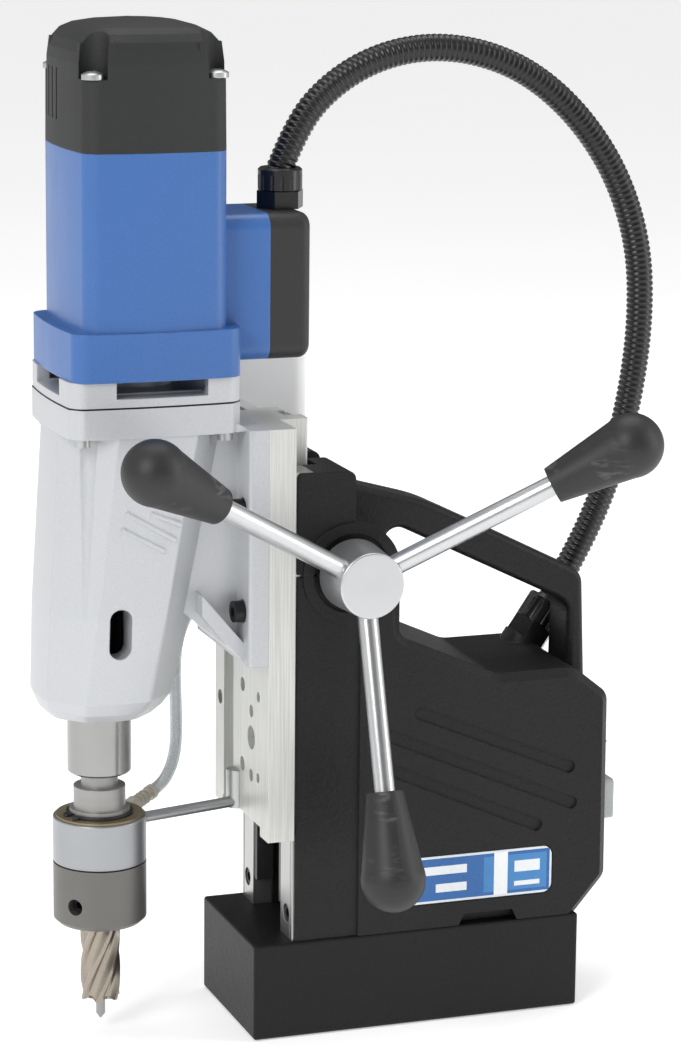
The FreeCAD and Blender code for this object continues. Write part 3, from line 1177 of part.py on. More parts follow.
CUTTER_TEETH = 6
FLUTE_RADIUS = 8.1
FLUTE_TOP = 50.0
FLUTE_TWIST = 125.0
FLUTE_LEVELS = 12
LAND_RADIUS = 9.42
FLUTE_PROFILE = [(0.0, LAND_RADIUS), (10.0, LAND_RADIUS), (20.0, LAND_RADIUS), (27.0, FLUTE_RADIUS),
                 (38.0, FLUTE_RADIUS), (49.0, FLUTE_RADIUS)]


def cutter_section(z, twist):
    """One level of the fluted crown: lands and flute floors as a closed polygon."""
    points = []
    for k in range(CUTTER_TEETH):
        for angle, radius in FLUTE_PROFILE:
            turn = math.radians(360.0 / CUTTER_TEETH * k + angle + twist)
            points.append(Vector(SPINDLE_X + radius * math.cos(turn), radius * math.sin(turn), z))
    return Part.makePolygon(points + [points[0]])


def make_cutter():
    """Annular cutter: hollow crown with six teeth, wide spiral flutes and a plain shank."""
    shank = upright(SPINDLE_X, 0, FLUTE_TOP, SPRING_ROOM[0] - 0.2, CUTTER_RADIUS)
    step = (FLUTE_TOP - CUTTER_BOTTOM) / FLUTE_LEVELS
    levels = [cutter_section(CUTTER_BOTTOM + step * i, FLUTE_TWIST * i / FLUTE_LEVELS) for i in range(FLUTE_LEVELS + 1)]
    cutter = Part.makeLoft(levels, True, True).fuse(shank)
    cutter = cutter.cut(upright(SPINDLE_X, 0, CUTTER_BOTTOM - 1, 50.0, 7.2))
    cutter = cutter.cut(upright(SPINDLE_X, 0, CUTTER_BOTTOM - 1, 100.0, PIN_RADIUS + 0.08))
    centre = Vector(SPINDLE_X, 0, 0)
    cuts = []
    for k in range(CUTTER_TEETH):
        gullet = box(SPINDLE_X + 6.0, SPINDLE_X + 11.0, -1.6, 1.6, CUTTER_BOTTOM - 1, CUTTER_BOTTOM + 2.5)
        cuts.append(turned(gullet, 360.0 / CUTTER_TEETH * (k + 0.62), centre, Z_AXIS))
    return cutter.cut(cuts)


# ---------------------------------------------------------------- coolant feed
TANK = (-98.0, -27.0, 47.0, 86.0, 222.0, 330.0)
CAP_AXIS = (-62.0, 66.0)
VALVE = (-62.0, 66.0)
RING_CENTRE = Vector(SPINDLE_X, 0, 0)
BARB_START = Vector(SPINDLE_X + 19.0 * math.cos(math.radians(40.0)), 19.0 * math.sin(math.radians(40.0)), 101.6)
BARB_AXIS = Vector(math.cos(math.radians(40.0)), math.sin(math.radians(40.0)), 0.17).normalize()
BARB_LENGTH = 26.0
TUBE_START = BARB_START + BARB_AXIS * BARB_LENGTH
TUBE_ROUTE = [
    tuple(TUBE_START),
    tuple(TUBE_START + BARB_AXIS * 7.0),
    (-102.0, 37.1, 110.7),
    (-98.4, 40.1, 116.0),
    (-96.2, 42.0, 123.6),
    (-95.6, 42.8, 134.4),
    (-95.9, 43.2, 148.0),
    (-96.0, 44.4, 162.0),
    (-93.8, 48.2, 174.5),
    (-88.0, 54.0, 184.0),
    (-79.8, 59.2, 191.6),
    (-70.2, 63.0, 197.4),
]
ROD_START = Vector(-127.0, 1.6, 101.6)
ROD_END = Vector(PLATE_FRONT - 0.3, 5.5, 104.6)
ROD_RADIUS = 2.6
NOSE_Y = 7.0
NOSE_RADIUS = 5.0


def make_coolant():
    x0, x1, y0, y1, z0, z1 = TANK
    tank = plan_prism(rectangle(x0, x1, y0, y1, 8.0), z0, z1)
    rims = [e for e in tank.Edges if abs(e.Vertexes[0].Z - e.Vertexes[-1].Z) < 1e-6]
    tank = tank.makeFillet(3.0, rims)
    tank = tank.cut(plan_prism(rectangle(x0 + 2, x1 - 2, y0 + 2, y1 - 2, 6.0), z0 + 2, z1 - 2))
    cx, cy = CAP_AXIS
    neck = ring(cx, cy, z1 - 3, z1 + 7, 12.0, 9.5)
    tank = tank.cut(upright(cx, cy, z1 - 4, z1 + 1, 9.5)).fuse(neck)
    hanger = box(-74.0, -66.0, PLATE_HALF_WIDTH, y0 + 1.0, 234.0, 282.0)
    tank = tank.fuse(hanger).removeSplitter()
    vx, vy = VALVE
    tank = tank.cut(upright(vx, vy, z0 - 1, z0 + 4, 5.0 + SCREW_GAP))
    nodes["coolant_tank"] = tank
    lid = upright(cx, cy, z1 + 4, z1 + 13, 15.0)
    lid = lid.cut(upright(cx, cy, z1 + 3, z1 + 10.5, 12.4))
    centre = Vector(cx, cy, 0)
    grooves = [turned(upright(cx + 15.4, cy, z1 + 3, z1 + 11, 1.2), 20.0 * k, centre, Z_AXIS) for k in range(18)]
    nodes["tank_cap"] = lid.cut(grooves)

    body = upright(vx, vy, z0 - 14, z0, 7.0).fuse(upright(vx, vy, z0, z0 + 3.5, 5.0))
    body = body.fuse(upright(vx, vy, 193.0, z0 - 14, 5.5))
    direction = Vector(*TUBE_ROUTE[-2]) - Vector(*TUBE_ROUTE[-1])
    direction.normalize()
    body = body.fuse(Part.makeCylinder(4.6, 8.2, Vector(*TUBE_ROUTE[-1]) - direction * 8.2, direction))
    stem_z = z0 - 7
    body = body.cut(rod((vx, vy, stem_z), Y_AXIS, 2.6, 12.0))
    nodes["valve_body"] = body.removeSplitter()
    lever = rod((vx, vy + 1.0, stem_z), Y_AXIS, 2.5, 9.5)
    lever = lever.fuse(rod((vx, vy + 8.0, stem_z), Y_AXIS, 4.5, 4.0))
    lever = lever.fuse(box(vx, vx + 20.0, vy + 8.5, vy + 11.5, stem_z - 2.5, stem_z + 2.5))
    nodes["valve_lever"] = lever.removeSplitter()

    collar = ring(SPINDLE_X, 0, RING_BOTTOM, RING_TOP, HOLDER_RADIUS, STEM_RADIUS + 0.1)
    rims = [e for e in collar.Edges if e.Closed and e.Curve.Radius > HOLDER_RADIUS - 0.1]
    collar = collar.makeFillet(0.6, rims)
    along = (ROD_END - ROD_START).normalize()
    collar = collar.cut(Part.makeCylinder(2.6, 12.0, BARB_START, BARB_AXIS))
    collar = collar.cut(Part.makeCylinder(ROD_RADIUS + 0.02, 30.0, ROD_START, along))
    nodes["coolant_ring"] = collar
    nodes["ring_washer"] = ring(SPINDLE_X, 0, RING_TOP, RING_TOP + 1.0, 20.6, STEM_RADIUS + 0.15)

    barb = Part.makeCylinder(2.55, BARB_LENGTH, BARB_START, BARB_AXIS)
    barb = barb.fuse(Part.makeCylinder(4.2, 6.0, BARB_START + BARB_AXIS * 4.5, BARB_AXIS))
    for place in (13.0, 16.0, 19.0):
        barb = barb.fuse(Part.makeCone(3.6, 2.7, 2.6, BARB_START + BARB_AXIS * place, BARB_AXIS))
    barb = barb.fuse(Part.makeCylinder(3.7, 3.0, BARB_START + BARB_AXIS * (BARB_LENGTH - 3), BARB_AXIS))
    nodes["tube_barb"] = barb.cut(Part.makeCylinder(1.3, 40.0, BARB_START - BARB_AXIS * 2, BARB_AXIS))
    nodes["coolant_tube"] = swept_tube("coolant tube", TUBE_ROUTE, TUBE_RADIUS)

    support = Part.makeCylinder(ROD_RADIUS, (ROD_END - ROD_START).Length - 0.5, ROD_START + along * 0.3, along)
    nodes["support_rod"] = support
    nose = upright(PLATE_FRONT, NOSE_Y, ROD_END.z - 3.0, ROD_END.z + 15.5, NOSE_RADIUS)
    nose = nose.common(box(PLATE_FRONT - 10, PLATE_FRONT, -20, 40, 90, 130))
    nodes["rod_clamp"] = nose.cut(Part.makeCylinder(ROD_RADIUS + 0.02, 80.0, ROD_START, along))


# ---------------------------------------------------------------- hose
GLAND_X = -58.6
HOSE_ROUTE = [
    (-59.5, 0.1, 405.3),
    (-50.5, 1.0, 426.4),
    (-35.1, 2.5, 443.5),
    (-12.8, 4.5, 456.2),
    (14.2, 7.0, 461.8),
    (43.2, 9.5, 458.8),
    (71.8, 12.0, 447.2),
    (98.0, 14.5, 425.6),
    (119.2, 17.0, 396.7),
    (132.2, 19.5, 362.4),
    (135.0, 21.5, 326.2),
    (132.0, 23.5, 290.3),
    (124.8, 25.0, 256.6),
    (113.8, 25.8, 226.6),
    (101.2, 26.0, 203.0),
    (89.4, 25.3, 183.5),
]


def make_all():
    make_magnet()
    make_stand_casting()
    make_rails()
    make_stand_fittings()
    make_switches()
    make_capstan()
    make_carriage()
    nodes["rack"] = make_rack()
    make_gear_case()
    make_vent_flange()
    make_case_screws()
    make_gear_train()
    make_motor()
    make_motor_cap()
    make_spindle()
    make_coolant()
    nodes["bearings"] = group(BEARINGS)
    nodes["hose"] = swept_tube("hose", HOSE_ROUTE, HOSE_RADIUS)


make_all()
for name, shape in nodes.items():
    shape.exportStep("parts/%s.step" % name)
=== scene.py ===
import math
import bmesh
import bpy
from mathutils import Matrix, Vector


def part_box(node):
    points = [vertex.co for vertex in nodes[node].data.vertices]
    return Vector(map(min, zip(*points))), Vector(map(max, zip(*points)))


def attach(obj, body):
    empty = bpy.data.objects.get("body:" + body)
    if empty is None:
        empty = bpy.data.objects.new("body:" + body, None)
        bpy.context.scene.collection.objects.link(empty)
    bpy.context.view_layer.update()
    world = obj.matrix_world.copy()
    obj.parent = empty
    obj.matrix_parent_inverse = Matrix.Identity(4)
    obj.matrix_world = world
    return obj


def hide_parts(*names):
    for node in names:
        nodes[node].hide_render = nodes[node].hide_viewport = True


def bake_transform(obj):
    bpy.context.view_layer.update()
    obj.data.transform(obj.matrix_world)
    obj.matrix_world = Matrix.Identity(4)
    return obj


# Magnetic drill press: finishes for every part, the ribbed hose, the clear coolant tube
# and the studio. Everything is in metres, in the frame of the part.

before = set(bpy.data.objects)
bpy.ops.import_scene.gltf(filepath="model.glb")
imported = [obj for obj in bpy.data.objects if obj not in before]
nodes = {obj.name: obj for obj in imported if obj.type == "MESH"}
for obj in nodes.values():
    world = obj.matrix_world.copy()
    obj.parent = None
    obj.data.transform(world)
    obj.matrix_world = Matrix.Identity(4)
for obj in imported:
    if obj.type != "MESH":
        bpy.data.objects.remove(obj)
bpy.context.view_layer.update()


# ---------------------------------------------------------------- camera
VIEW_AZIMUTH = math.radians(-19.559)
VIEW_ELEVATION = math.radians(12.125)
VIEW_ROLL = math.radians(0.561)
VIEW_PLACE = Vector((-0.5600, -1.4993, 0.5781))
LENS = 117.21


def make_camera():
    back = Vector((
        math.sin(VIEW_AZIMUTH) * math.cos(VIEW_ELEVATION),
        -math.cos(VIEW_AZIMUTH) * math.cos(VIEW_ELEVATION),
        math.sin(VIEW_ELEVATION),
    ))
    right = Vector((math.cos(VIEW_AZIMUTH), math.sin(VIEW_AZIMUTH), 0))
    up = back.cross(right)
    across = right * math.cos(VIEW_ROLL) + up * math.sin(VIEW_ROLL)
    upright = up * math.cos(VIEW_ROLL) - right * math.sin(VIEW_ROLL)
    turn = Matrix((across, upright, back)).transposed().to_4x4()
    data = bpy.data.cameras.new("camera")
    data.lens = LENS
    data.sensor_width = 36.0
    data.clip_end = 100.0
    camera = bpy.data.objects.new("camera", data)
    camera.matrix_world = Matrix.Translation(VIEW_PLACE) @ turn
    bpy.context.scene.collection.objects.link(camera)
    bpy.context.scene.camera = camera


make_camera()


# ---------------------------------------------------------------- finishes
def paint(code):
    """A linear colour from a hex code."""
    shares = [int(code[i:i + 2], 16) / 255 for i in (1, 3, 5)]
    linear = [s / 12.92 if s <= 0.04045 else ((s + 0.055) / 1.055) ** 2.4 for s in shares]
    return (*linear, 1.0)


def shade(colour, factor):
    return tuple(min(1.0, c * factor) for c in colour[:3]) + (1.0,)


class Number:
    """A varying number in a finish, with ordinary arithmetic."""

    def __init__(self, finish, socket):
        self.finish = finish
        self.socket = socket

    def sum_of(self, operation, first, second=0.0):
        made = self.finish.node("ShaderNodeMath", {"operation": operation}, {0: first, 1: second})
        return Number(self.finish, made.outputs[0])

    def __add__(self, other):
        return self.sum_of("ADD", self, other)

    def __sub__(self, other):
        return self.sum_of("SUBTRACT", self, other)

    def __rsub__(self, other):
        return self.sum_of("SUBTRACT", other, self)

    def __mul__(self, other):
        return self.sum_of("MULTIPLY", self, other)

    def __gt__(self, other):
        return self.sum_of("GREATER_THAN", self, other)

    def __lt__(self, other):
        return self.sum_of("LESS_THAN", self, other)

    def root(self):
        return self.sum_of("SQRT", self)

    def between(self, low, high):
        """0 at low, 1 at high, smooth in between."""
        made = self.finish.node(
            "ShaderNodeMapRange",
            {"interpolation_type": "SMOOTHSTEP"},
            {"Value": self, "From Min": low, "From Max": high},
        )
        return Number(self.finish, made.outputs[0])

    __radd__ = __add__
    __rmul__ = __mul__


SPINDLE_AXIS = (-0.1462, 0.0, 0.0)
CAPSTAN_AXIS = (-0.0355, 0.0, 0.2233)
SEAM = 0.3060
SEAM_WIDTH = 0.0008
GRIP_START = 0.106
GRIP_MIDDLE = 0.132
HOLDER_NECK = 0.0842
EDGE_SAMPLES = 4
EDGE_START = 0.01
EDGE_FULL = 0.16


class Finish:
    """One procedural material on the object's own coordinates."""

    def __init__(self, name):
        self.material = bpy.data.materials.new(name)
        self.material.use_nodes = True
        self.tree = self.material.node_tree
        self.shader = self.tree.nodes["Principled BSDF"]
        self.place = self.node("ShaderNodeTexCoord").outputs["Object"]

    def node(self, kind, settings=None, values=None):
        made = self.tree.nodes.new(kind)
        for key, value in (settings or {}).items():
            setattr(made, key, value)
        for key, value in (values or {}).items():
            self.feed(made.inputs[key], value)
        return made

    def feed(self, socket, value):
        value = value.socket if isinstance(value, Number) else value
        if isinstance(value, bpy.types.NodeSocket):
            self.tree.links.new(value, socket)
        else:
            socket.default_value = value

    def grain(self, scale, detail=2.0, stretch=(1, 1, 1), place=None):
        """Noise from 0 to 1. Its grains are about 1/scale metres across."""
        place = self.place if place is None else place
        if stretch != (1, 1, 1):
            place = self.node("ShaderNodeMapping", None, {"Vector": place, "Scale": stretch}).outputs[0]
        made = self.node("ShaderNodeTexNoise", None, {"Vector": place, "Scale": scale, "Detail": detail})
        return Number(self, made.outputs[0])

    def pebbles(self, scale):
        """Distance to the nearest cell wall of a pebbled surface."""
        made = self.node(
            "ShaderNodeTexVoronoi", {"feature": "SMOOTH_F1"}, {"Vector": self.place, "Scale": scale}
        )
        return Number(self, made.outputs["Distance"])

    def mix(self, mask, first, second):
        made = self.node("ShaderNodeMix", {"data_type": "RGBA"}, {0: mask, 6: first, 7: second})
        return made.outputs[2]

    def axes(self):
        parts = self.node("ShaderNodeSeparateXYZ", None, {0: self.place}).outputs
        return [Number(self, part) for part in parts]

    def rounding(self, radius):
        return self.node("ShaderNodeBevel", {"samples": EDGE_SAMPLES}, {"Radius": radius}).outputs[0]

    def edges(self, rounded):
        """1 on sharp edges, 0 on flat faces."""
        true = self.node("ShaderNodeNewGeometry").outputs["Normal"]
        dot = self.node("ShaderNodeVectorMath", {"operation": "DOT_PRODUCT"}, {0: rounded, 1: true})
        return (1 - Number(self, dot.outputs["Value"])).between(EDGE_START, EDGE_FULL)

    def relief(self, height, depth, rounded):
        bump = self.node("ShaderNodeBump", None, {"Height": height, "Distance": depth, "Normal": rounded})
        self.feed(self.shader.inputs["Normal"], bump.outputs[0])

    def set(self, **values):
        for name, value in values.items():
            self.feed(self.shader.inputs[name.replace("_", " ")], value)
        return self.material


def coated(name, colour, roughness, grain=800.0, depth=0.0001, mottle=0.08, worn=None, worn_share=0.35,
           radius=0.0005, **others):
    """Paint, moulded plastic or a cast skin: fine grain, slow mottling and lighter worn edges."""
    f = Finish(name)
    rounded = f.rounding(radius)
    fine = f.grain(grain, 3.0)
    slow = f.grain(28.0, 3.0)
    tone = f.mix(slow, shade(colour, 1 - mottle), shade(colour, 1 + mottle))
    tone = f.mix(fine.between(0.35, 0.75) * 0.35, tone, shade(colour, 1.25))
    chips = f.edges(rounded) * f.grain(160.0, 4.0).between(0.35, 0.65) * worn_share
    tone = f.mix(chips, tone, worn or shade(colour, 1.8))
    rub = f.grain(55.0, 4.0, (1, 1, 0.4))
    f.relief(fine, depth, rounded)
    return f.set(Base_Color=tone, Roughness=rub * 0.16 + (roughness - 0.08), **others)


def pebbled(name, colour, roughness, scale, depth, gloss_shift=0.12):
    """Black wrinkle coat on a casting: leathery pebbles, shinier on their crowns."""
    f = Finish(name)
    rounded = f.rounding(0.0009)
    f.shader.inputs["Specular IOR Level"].default_value = 0.3
    skin = f.pebbles(scale)
    swell = f.grain(scale * 0.35, 3.0)
    tone = f.mix(skin.between(0.1, 0.7), shade(colour, 0.7), shade(colour, 1.35))
    tone = f.mix(f.edges(rounded) * f.grain(140.0, 3.0).between(0.4, 0.6) * 0.3, tone, shade(colour, 3.0))
    f.relief(skin * 0.6 + swell, depth, rounded)
    return f.set(Base_Color=tone, Roughness=skin * gloss_shift + swell * 0.1 + (roughness - 0.1))


def flecked(name, colour, roughness):
    """Silver hammer paint over a casting: metal flecks in a clear film."""
    f = Finish(name)
    rounded = f.rounding(0.0008)
    fleck = f.grain(2600.0, 2.0)
    cloud = f.grain(24.0, 3.0)
    tone = f.mix(fleck.between(0.3, 0.7), shade(colour, 0.90), shade(colour, 1.05))
    tone = f.mix(cloud * 0.2, tone, shade(colour, 0.93))
    tone = f.mix(f.edges(rounded) * f.grain(180.0, 3.0).between(0.4, 0.7) * 0.5, tone, shade(colour, 1.3))
    height = f.axes()[2]
    seam = (height > SEAM - SEAM_WIDTH / 2) * (height < SEAM + SEAM_WIDTH / 2)
    tone = f.mix(seam, tone, paint("#1c1c1d"))
    f.relief(fleck * 0.4 + f.grain(520.0, 2.0) * 0.6, 0.00004, rounded)
    return f.set(Base_Color=tone, Metallic=0.3, Roughness=fleck * 0.16 + (roughness - 0.08))


def brushed(name, colour, roughness, stretch, metal=0.9, depth=0.00002, radius=0.0004):
    """Bare metal with fine straight lines: stretch is small along the lines."""
    f = Finish(name)
    rounded = f.rounding(radius)
    lines = f.grain(1.0, 3.0, stretch)
    stain = f.grain(32.0, 4.0)
    tone = f.mix(lines.between(0.3, 0.7), shade(colour, 0.86), shade(colour, 1.1))
    tone = f.mix(stain.between(0.45, 0.8) * 0.3, tone, shade(colour, 0.8))
    tone = f.mix(f.edges(rounded) * 0.5, tone, shade(colour, 1.35))
    f.relief(lines, depth, rounded)
    return f.set(Base_Color=tone, Metallic=metal, Roughness=lines * 0.14 + stain * 0.08 + (roughness - 0.1))


def turned(name, colour, roughness, centre, along, metal=1.0, pitch=0.00025, upper=None):
    """Metal turned on a lathe: fine rings round the axis through centre, on faces and sides.
    upper is (height, colour) of a bright neck above a blackened body."""
    f = Finish(name)
    rounded = f.rounding(0.0004)
    axes = f.axes()
    flat = [axes[i] - centre[i] for i in range(3) if i != along]
    radius = (flat[0] * flat[0] + flat[1] * flat[1]).root()
    where = f.node("ShaderNodeCombineXYZ", None, {0: radius, 1: axes[along]}).outputs[0]
    rings = f.grain(1 / pitch, 3.0, place=where)
    stain = f.grain(40.0, 3.0)

    def ringed(base):
        made = f.mix(rings.between(0.3, 0.7), shade(base, 0.93), shade(base, 1.04))
        made = f.mix(stain.between(0.45, 0.8) * 0.25, made, shade(base, 0.82))
        return f.mix(f.edges(rounded) * 0.5, made, shade(base, 1.35))

    tone = ringed(colour)
    if upper:
        tone = f.mix(axes[along] > upper[0], tone, ringed(upper[1]))
    f.relief(rings, 0.00001, rounded)
    return f.set(Base_Color=tone, Metallic=metal, Roughness=rings * 0.1 + stain * 0.1 + (roughness - 0.1))


CLEAR_RELIEF = 0.000002
CLEAR_ROUNDING = 0.0001


def clear(name, colour, roughness, share):
    """Clear or milky plastic that lets light through."""
    f = Finish(name)
    haze = f.grain(70.0, 3.0)
    tone = f.mix(haze, colour, shade(colour, 0.9))
    f.relief(haze, CLEAR_RELIEF, f.rounding(CLEAR_ROUNDING))
    f.shader.inputs["Transmission Weight"].default_value = share
    f.shader.inputs["IOR"].default_value = 1.4
    return f.set(Base_Color=tone, Roughness=haze * 0.1 + roughness)


def scuffed_grip(name):
    """Matt black phenolic with pale scuffs where hands and chips have rubbed it."""
    f = Finish(name)
    rounded = f.rounding(0.0005)
    fine = f.grain(1300.0, 3.0)
    x, _, z = f.axes()
    sideways = x - CAPSTAN_AXIS[0]
    rise = z - CAPSTAN_AXIS[2]
    near_arm = 1 - (sideways * sideways + rise * rise).root().between(GRIP_START, GRIP_MIDDLE)
    patch = f.grain(50.0, 4.0).between(0.5, 0.62) * near_arm
    streak = f.grain(1.0, 3.0, (120, 120, 520)).between(0.48, 0.64)
    black = f.mix(fine, paint("#1b1b1c"), paint("#2a2a2b"))
    tone = f.mix(patch * streak * 0.5, black, paint("#68696b"))
    f.relief(fine, 0.00006, rounded)
    return f.set(Base_Color=tone, Roughness=fine * 0.12 + patch * 0.08 + 0.42)


# Left, right, bottom and top of each white block, as shares of the plate's width and height.
BADGE_BLOCKS = [
    (0.10, 0.50, 0.60, 0.78),
    (0.32, 0.50, 0.22, 0.40),
    (0.78, 0.93, 0.20, 0.30),
    (0.78, 0.93, 0.50, 0.74),
]


def badge(name, box):
    """Blue name plate with plain white and pale blue blocks, and no lettering."""
    f = Finish(name)
    rounded = f.rounding(0.0003)
    x, _, z = f.axes()
    low, high = box
    width = high.x - low.x
    height = high.z - low.z
    across = (x - low.x) * (1 / width)
    rise = (z - low.z) * (1 / height)

    def block(left, right, bottom, top):
        return (across > left) * (across < right) * (rise > bottom) * (rise < top)

    tone = f.mix(f.grain(60.0, 3.0), paint("#1f5c9f"), paint("#2a69ad"))
    tone = f.mix(block(0.60, 0.97, 0.12, 0.88), tone, paint("#3f83c0"))
    tone = f.mix(block(0.66, 0.74, 0.0, 1.0), tone, paint("#f2f4f5"))
    for edges in BADGE_BLOCKS:
        tone = f.mix(block(*edges), tone, paint("#e9edf0"))
    frame_line = 1 - block(0.012, 0.988, 0.05, 0.95)
    tone = f.mix(frame_line, tone, paint("#dfe6ea"))
    f.relief(f.grain(900.0, 2.0), 0.00002, rounded)
    return f.set(Base_Color=tone, Roughness=f.grain(80.0, 2.0) * 0.15 + 0.2)


blue_shell = coated("blue_shell", paint("#3c68a8"), 0.34, grain=900.0, depth=0.00004, mottle=0.03,
                    worn=paint("#a9c4ea"), worn_share=0.2, radius=0.0007)
charcoal_cap = coated("charcoal_cap", paint("#212223"), 0.6, grain=1300.0, depth=0.0002, mottle=0.06,
                      radius=0.0009)
switch_black = coated("switch_black", paint("#262626"), 0.5, grain=1100.0, depth=0.00018, radius=0.0008)
gloss_black = coated("gloss_black", paint("#141414"), 0.26, grain=500.0, depth=0.00003, radius=0.0004)
hose_black = coated("hose_black", paint("#151516"), 0.3, grain=700.0, depth=0.00002, mottle=0.15)
stand_coat = pebbled("stand_coat", paint("#151516"), 0.46, 1100.0, 0.00022)
magnet_coat = pebbled("magnet_coat", paint("#121213"), 0.5, 1500.0, 0.00018)
silver_coat = flecked("silver_coat", paint("#c6c8cb"), 0.38)
carriage_finish = brushed("carriage_finish", paint("#d4d5d1"), 0.42, (2600, 2600, 24), metal=0.55)
rail_finish = brushed("rail_finish", paint("#b9b9b7"), 0.3, (2200, 2200, 30))
rack_finish = brushed("rack_finish", paint("#8f8f8d"), 0.34, (1800, 1800, 60))
rod_finish = brushed("rod_finish", paint("#a3a4a6"), 0.4, (60, 2400, 2400))
arm_finish = coated("arm_finish", paint("#c9cacb"), 0.3, grain=1600.0, depth=0.00002, mottle=0.05,
                    Metallic=0.95)
hub_finish = turned("hub_finish", paint("#cdced0"), 0.34, CAPSTAN_AXIS, 1, metal=0.85)
ring_finish = turned("ring_finish", paint("#a8aaad"), 0.36, SPINDLE_AXIS, 2, metal=0.8)
holder_finish = turned("holder_finish", paint("#757370"), 0.42, SPINDLE_AXIS, 2, metal=0.6,
                       upper=(HOLDER_NECK, paint("#a5a4a2")))
spindle_finish = turned("spindle_finish", paint("#a2a2a1"), 0.24, SPINDLE_AXIS, 2)
washer_finish = turned("washer_finish", paint("#9c8f74"), 0.45, SPINDLE_AXIS, 2, metal=0.8)
cutter_finish = coated("cutter_finish", paint("#a39a8e"), 0.28, grain=1400.0, depth=0.000004, mottle=0.08,
                       worn=paint("#d8d2c8"), worn_share=0.7, radius=0.0003, Metallic=0.95)
zinc = coated("zinc", paint("#b8bab8"), 0.34, grain=1500.0, depth=0.00003, Metallic=0.9)
dark_steel = coated("dark_steel", paint("#4a4a4b"), 0.4, grain=900.0, depth=0.00004, Metallic=0.8)
black_oxide = coated("black_oxide", paint("#262728"), 0.4, grain=1200.0, depth=0.00004, Metallic=0.6)
gear_steel = coated("gear_steel", paint("#8d8c8a"), 0.36, grain=900.0, depth=0.00003, Metallic=0.9)
lamination = brushed("lamination", paint("#6d6a66"), 0.45, (60, 60, 2600), metal=0.8)
copper = brushed("copper", paint("#a5582c"), 0.35, (900, 900, 900), metal=0.9)
resin = coated("resin", paint("#3a2a20"), 0.45, grain=500.0, depth=0.00008)
brass = coated("brass", paint("#b8924c"), 0.35, grain=900.0, depth=0.00003, Metallic=0.9)
board_green = coated("board_green", paint("#1f5a35"), 0.4, grain=700.0, depth=0.00004)
bezel_plastic = coated("bezel_plastic", paint("#b9bcbd"), 0.35, grain=600.0, depth=0.00003)
start_green = coated("start_green", paint("#2f9a4c"), 0.34, grain=900.0, depth=0.00003)
stop_red = coated("stop_red", paint("#c02a26"), 0.34, grain=900.0, depth=0.00003)
tank_white = coated("tank_white", paint("#ffffff"), 0.42, grain=400.0, depth=0.00003, mottle=0.02)
clear_hose = clear("clear_hose", paint("#e3e7e9"), 0.1, 0.72)
barb_plastic = clear("barb_plastic", paint("#efe9dc"), 0.25, 0.35)
grip_black = scuffed_grip("grip_black")

FINISHES = {
    "magnet_core": magnet_coat, "magnet_coil": copper, "coil_potting": resin, "magnet_bolts": black_oxide,
    "stand_casting": stand_coat, "rails": rail_finish, "rail_screws": black_oxide, "gib_strips": dark_steel,
    "control_board": board_green, "name_plate": badge("name_plate_print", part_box("name_plate")),
    "capstan_bushes": brass, "stand_gland": gloss_black, "mains_gland": gloss_black,
    "rocker_bezel": bezel_plastic, "button_frame": bezel_plastic, "hose": hose_black,
    "carriage_plate": carriage_finish, "rack": rack_finish, "gear_case": silver_coat,
    "bracket_bolts": black_oxide, "vent_flange": silver_coat, "motor_housing": blue_shell,
    "motor_cap": charcoal_cap, "cap_screws": zinc, "case_screws": zinc, "stator": lamination,
    "brush_gear": brass, "bearings": gear_steel, "switch_box_cover": switch_black,
    "motor_gland": gloss_black, "coolant_tank": tank_white, "valve_body": brass, "coolant_tube": clear_hose,
    "tube_barb": barb_plastic, "coolant_ring": ring_finish, "ring_washer": washer_finish,
    "support_rod": rod_finish, "rod_clamp": zinc, "spindle": spindle_finish, "tool_holder": holder_finish,
    "circlip": dark_steel, "spindle_gear": gear_steel, "set_screws": black_oxide, "cutter": cutter_finish,
    "pilot_pin": spindle_finish, "ejector_spring": gear_steel, "armature_shaft": gear_steel,
    "armature_core": lamination, "fan": gloss_black, "first_layshaft": gear_steel,
    "second_layshaft": gear_steel, "pinion_shaft": gear_steel, "capstan_hub": hub_finish,
    "capstan_arms": arm_finish, "capstan_grips": grip_black, "magnet_rocker": stop_red,
    "start_button": start_green, "stop_button": stop_red, "valve_lever": stop_red,
    "tank_cap": charcoal_cap,
}

for name, part in nodes.items():
    part.data.materials.clear()
    part.data.materials.append(FINISHES[name])


# ---------------------------------------------------------------- new pieces
def finished(name, bm, material, body, slot, *stands_for):
    """A bmesh becomes a piece that takes the place of CAD nodes. It rides on body; where body is
    (first, second, start, end), it is only fixed in place and rides on neither body."""
    mesh = bpy.data.meshes.new(name)
    bm.to_mesh(mesh)
    bm.free()
    for face in mesh.polygons:
        face.use_smooth = True
    mesh.materials.append(material)
    piece = bpy.data.objects.new(name, mesh)
    bpy.context.scene.collection.objects.link(piece)
    if isinstance(body, str):
        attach(piece, body)
    else:
        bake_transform(piece)
    if stands_for:
        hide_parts(*stands_for)
    return piece


def route_line(name, route, steps):
    """Points along the smooth line that bends with the route's points as its controls."""
    data = bpy.data.curves.new(name, "CURVE")
    data.dimensions = "3D"
    data.resolution_u = steps
    spline = data.splines.new("NURBS")
    spline.points.add(len(route) - 1)
    for point, place in zip(spline.points, route):
        point.co = (*place, 1.0)
    spline.order_u = 3
    spline.use_endpoint_u = True
    guide = bpy.data.objects.new(name, data)
    mesh = bpy.data.meshes.new_from_object(guide)
    line = [v.co.copy() for v in mesh.vertices]
    bpy.data.objects.remove(guide)
    bpy.data.curves.remove(data)
    bpy.data.meshes.remove(mesh)
    return line


